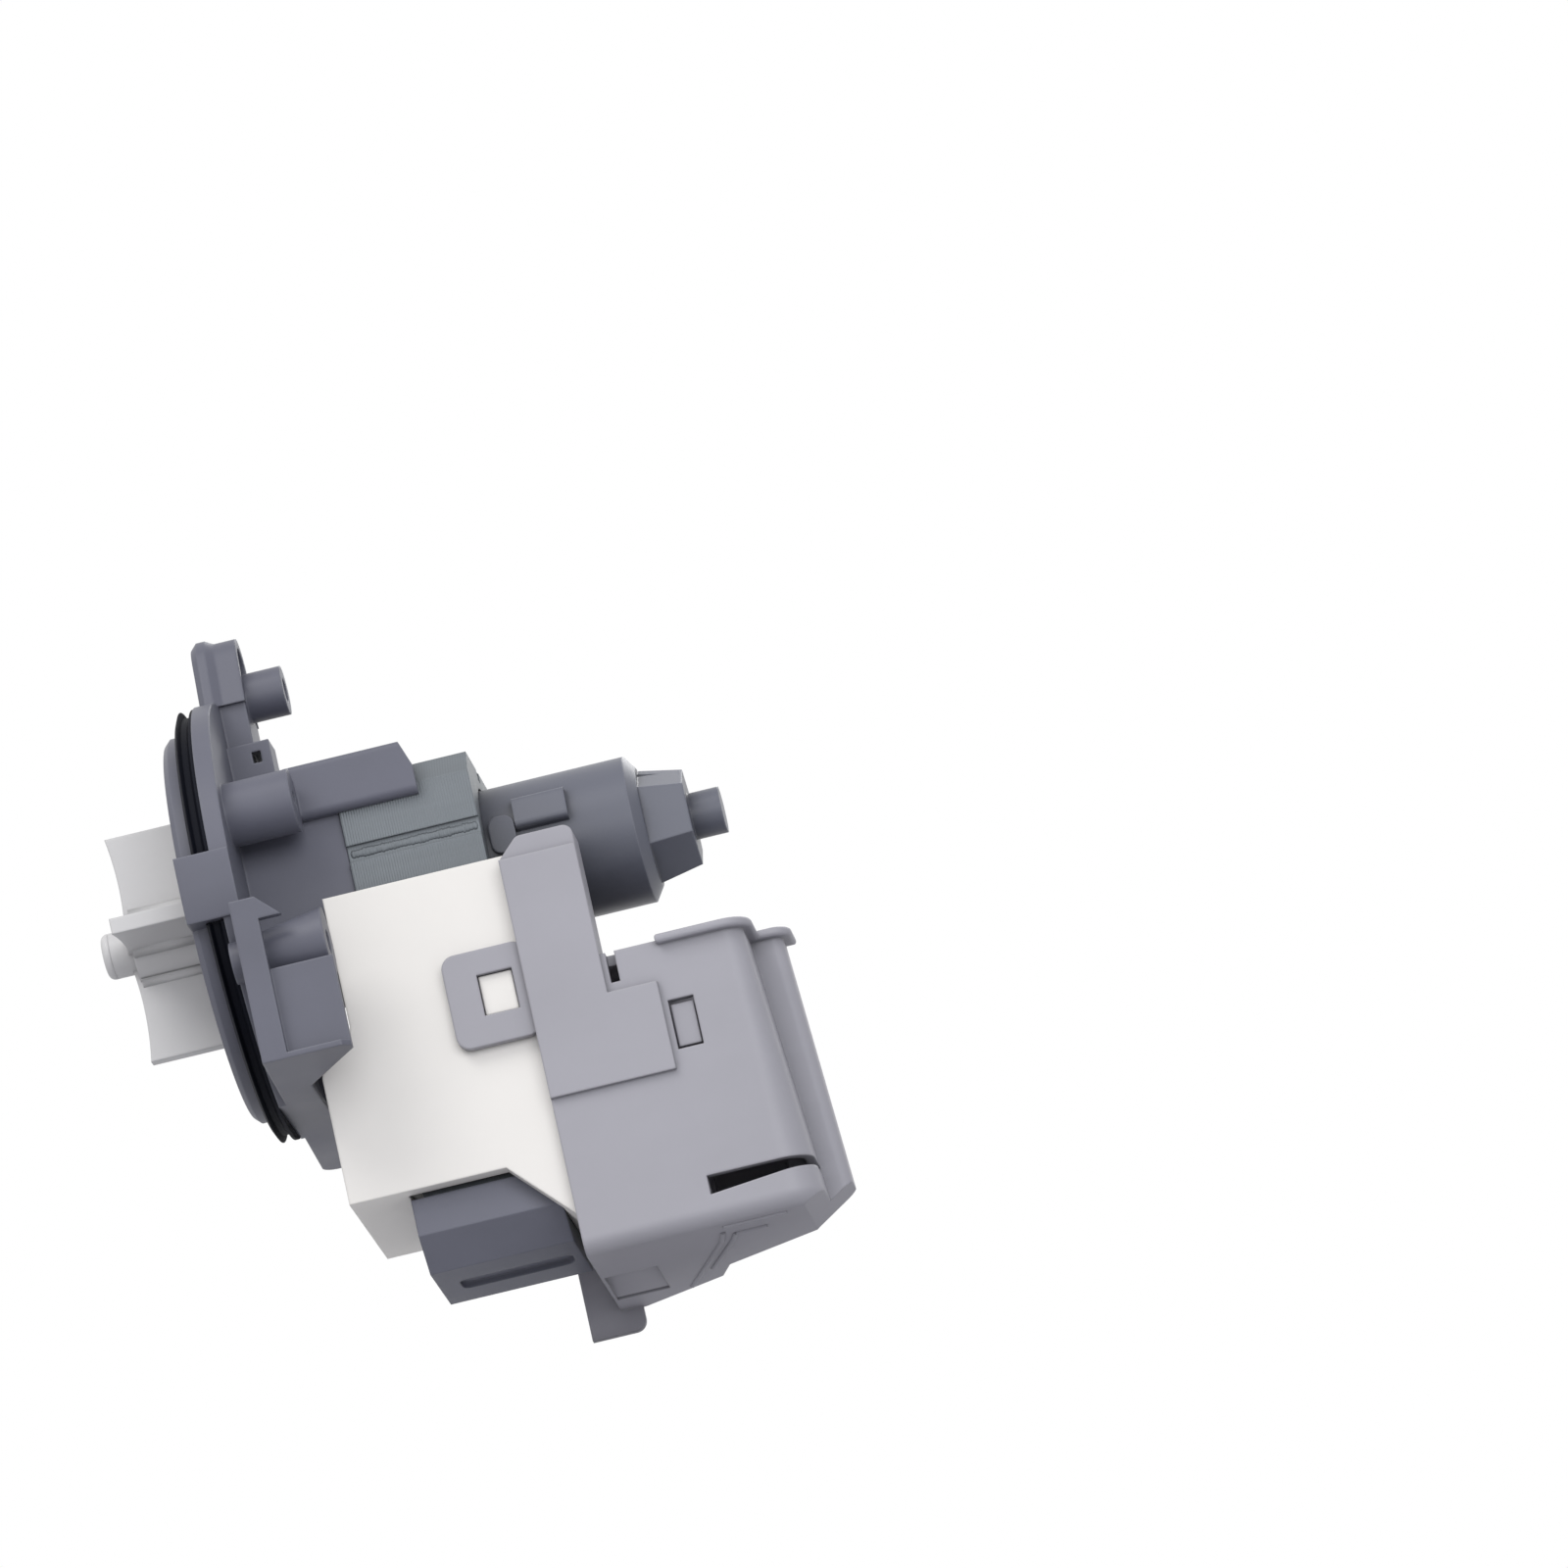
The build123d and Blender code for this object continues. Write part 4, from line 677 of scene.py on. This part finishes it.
def filletWedges(s):
    # A hollow-faced wedge on both sides of the upper blade, where it leaves the hub.
    points = []
    faces = []
    for side in (-1, 1):
        section = [(s["bladeHalf"] - s["sunk"], s["hubTop"] - 2 * s["sunk"])]
        for step in range(s["steps"] + 1):
            turn = radians(90.0 * step / s["steps"])
            y = s["bladeHalf"] + s["radius"] * (1 - sin(turn))
            z = s["hubTop"] + s["radius"] * (1 - cos(turn)) - s["sunk"]
            section.append((y, z))
        section.append((s["bladeHalf"] - s["sunk"], s["hubTop"] + s["radius"] - s["sunk"]))
        first = len(points)
        count = len(section)
        points += [(x, side * y, z) for x in (s["front"], s["rear"]) for y, z in section]
        wedge = [tuple(range(first, first + count))[::-1], tuple(range(first + count, first + 2 * count))]
        for at in range(count):
            after = (at + 1) % count
            wedge.append((first + at, first + after, first + count + after, first + count + at))
        faces += wedge if side == 1 else [face[::-1] for face in wedge]
    return startMesh("filletWedges", points, (), faces)


def turnedTree(tree, given):
    # Copies of the wedges turned about the pump axis.
    row = addNode(tree, "GeometryNodeMeshLine", {"Offset": (0.0, 0.0, 0.0)}, mode="OFFSET")
    join(tree, given["Blades"], row.inputs["Count"])
    index = addNode(tree, "GeometryNodeInputIndex")
    turn = addNode(tree, "ShaderNodeMath", operation="MULTIPLY")
    angle = addNode(tree, "ShaderNodeCombineXYZ")
    join(tree, index.outputs[0], turn.inputs[0])
    join(tree, given["Step Angle"], turn.inputs[1])
    join(tree, turn.outputs[0], angle.inputs["X"])
    smooth = addNode(tree, "GeometryNodeSetShadeSmooth")
    join(tree, given["Geometry"], smooth.inputs["Geometry"])
    return placeOn(tree, row.outputs["Mesh"], smooth.outputs["Geometry"], Rotation=angle.outputs["Vector"])


growPiece(
    "bladeFillets",
    filletWedges(filletSettings),
    {"Blades": filletSettings["blades"], "Step Angle": radians(360.0 / filletSettings["blades"])},
    turnedTree,
    "impellerPlastic",
    "impeller",
)

# Moulded ridges on the terminal cover's underside
ridgeSettings = {
    "radius": 0.6 * mm,
    "sunk": 0.15 * mm,
    "floor": -82.6 * mm,
    "lines": (  # X and Y in mm
        ((75.4, -19.0), (74.4, -11.8), (65.2, 18.8)),
        ((77.6, -16.5), (76.6, -11.8), (70.4, 8.0)),
        ((76.0, -23.6), (88.0, -23.6)),
        ((77.6, -16.5), (83.5, -16.5)),
    ),
}


def ridgePaths(s):
    points = []
    edges = []
    for line in s["lines"]:
        first = len(points)
        points += [(x * mm, y * mm, s["floor"] + s["sunk"]) for x, y in line]
        edges += [(first + step, first + step + 1) for step in range(len(line) - 1)]
    return startMesh("ridgePaths", points, edges)


def ridgeTree(tree, given):
    smooth = addNode(tree, "GeometryNodeSetShadeSmooth")
    join(tree, roundBar(tree, given["Geometry"], given["Radius"]), smooth.inputs["Geometry"])
    return smooth.outputs["Geometry"]


growPiece(
    "coverRidges",
    ridgePaths(ridgeSettings),
    {"Radius": ridgeSettings["radius"]},
    ridgeTree,
    "coverPlastic",
    "pump",
)
print("grown pieces done")
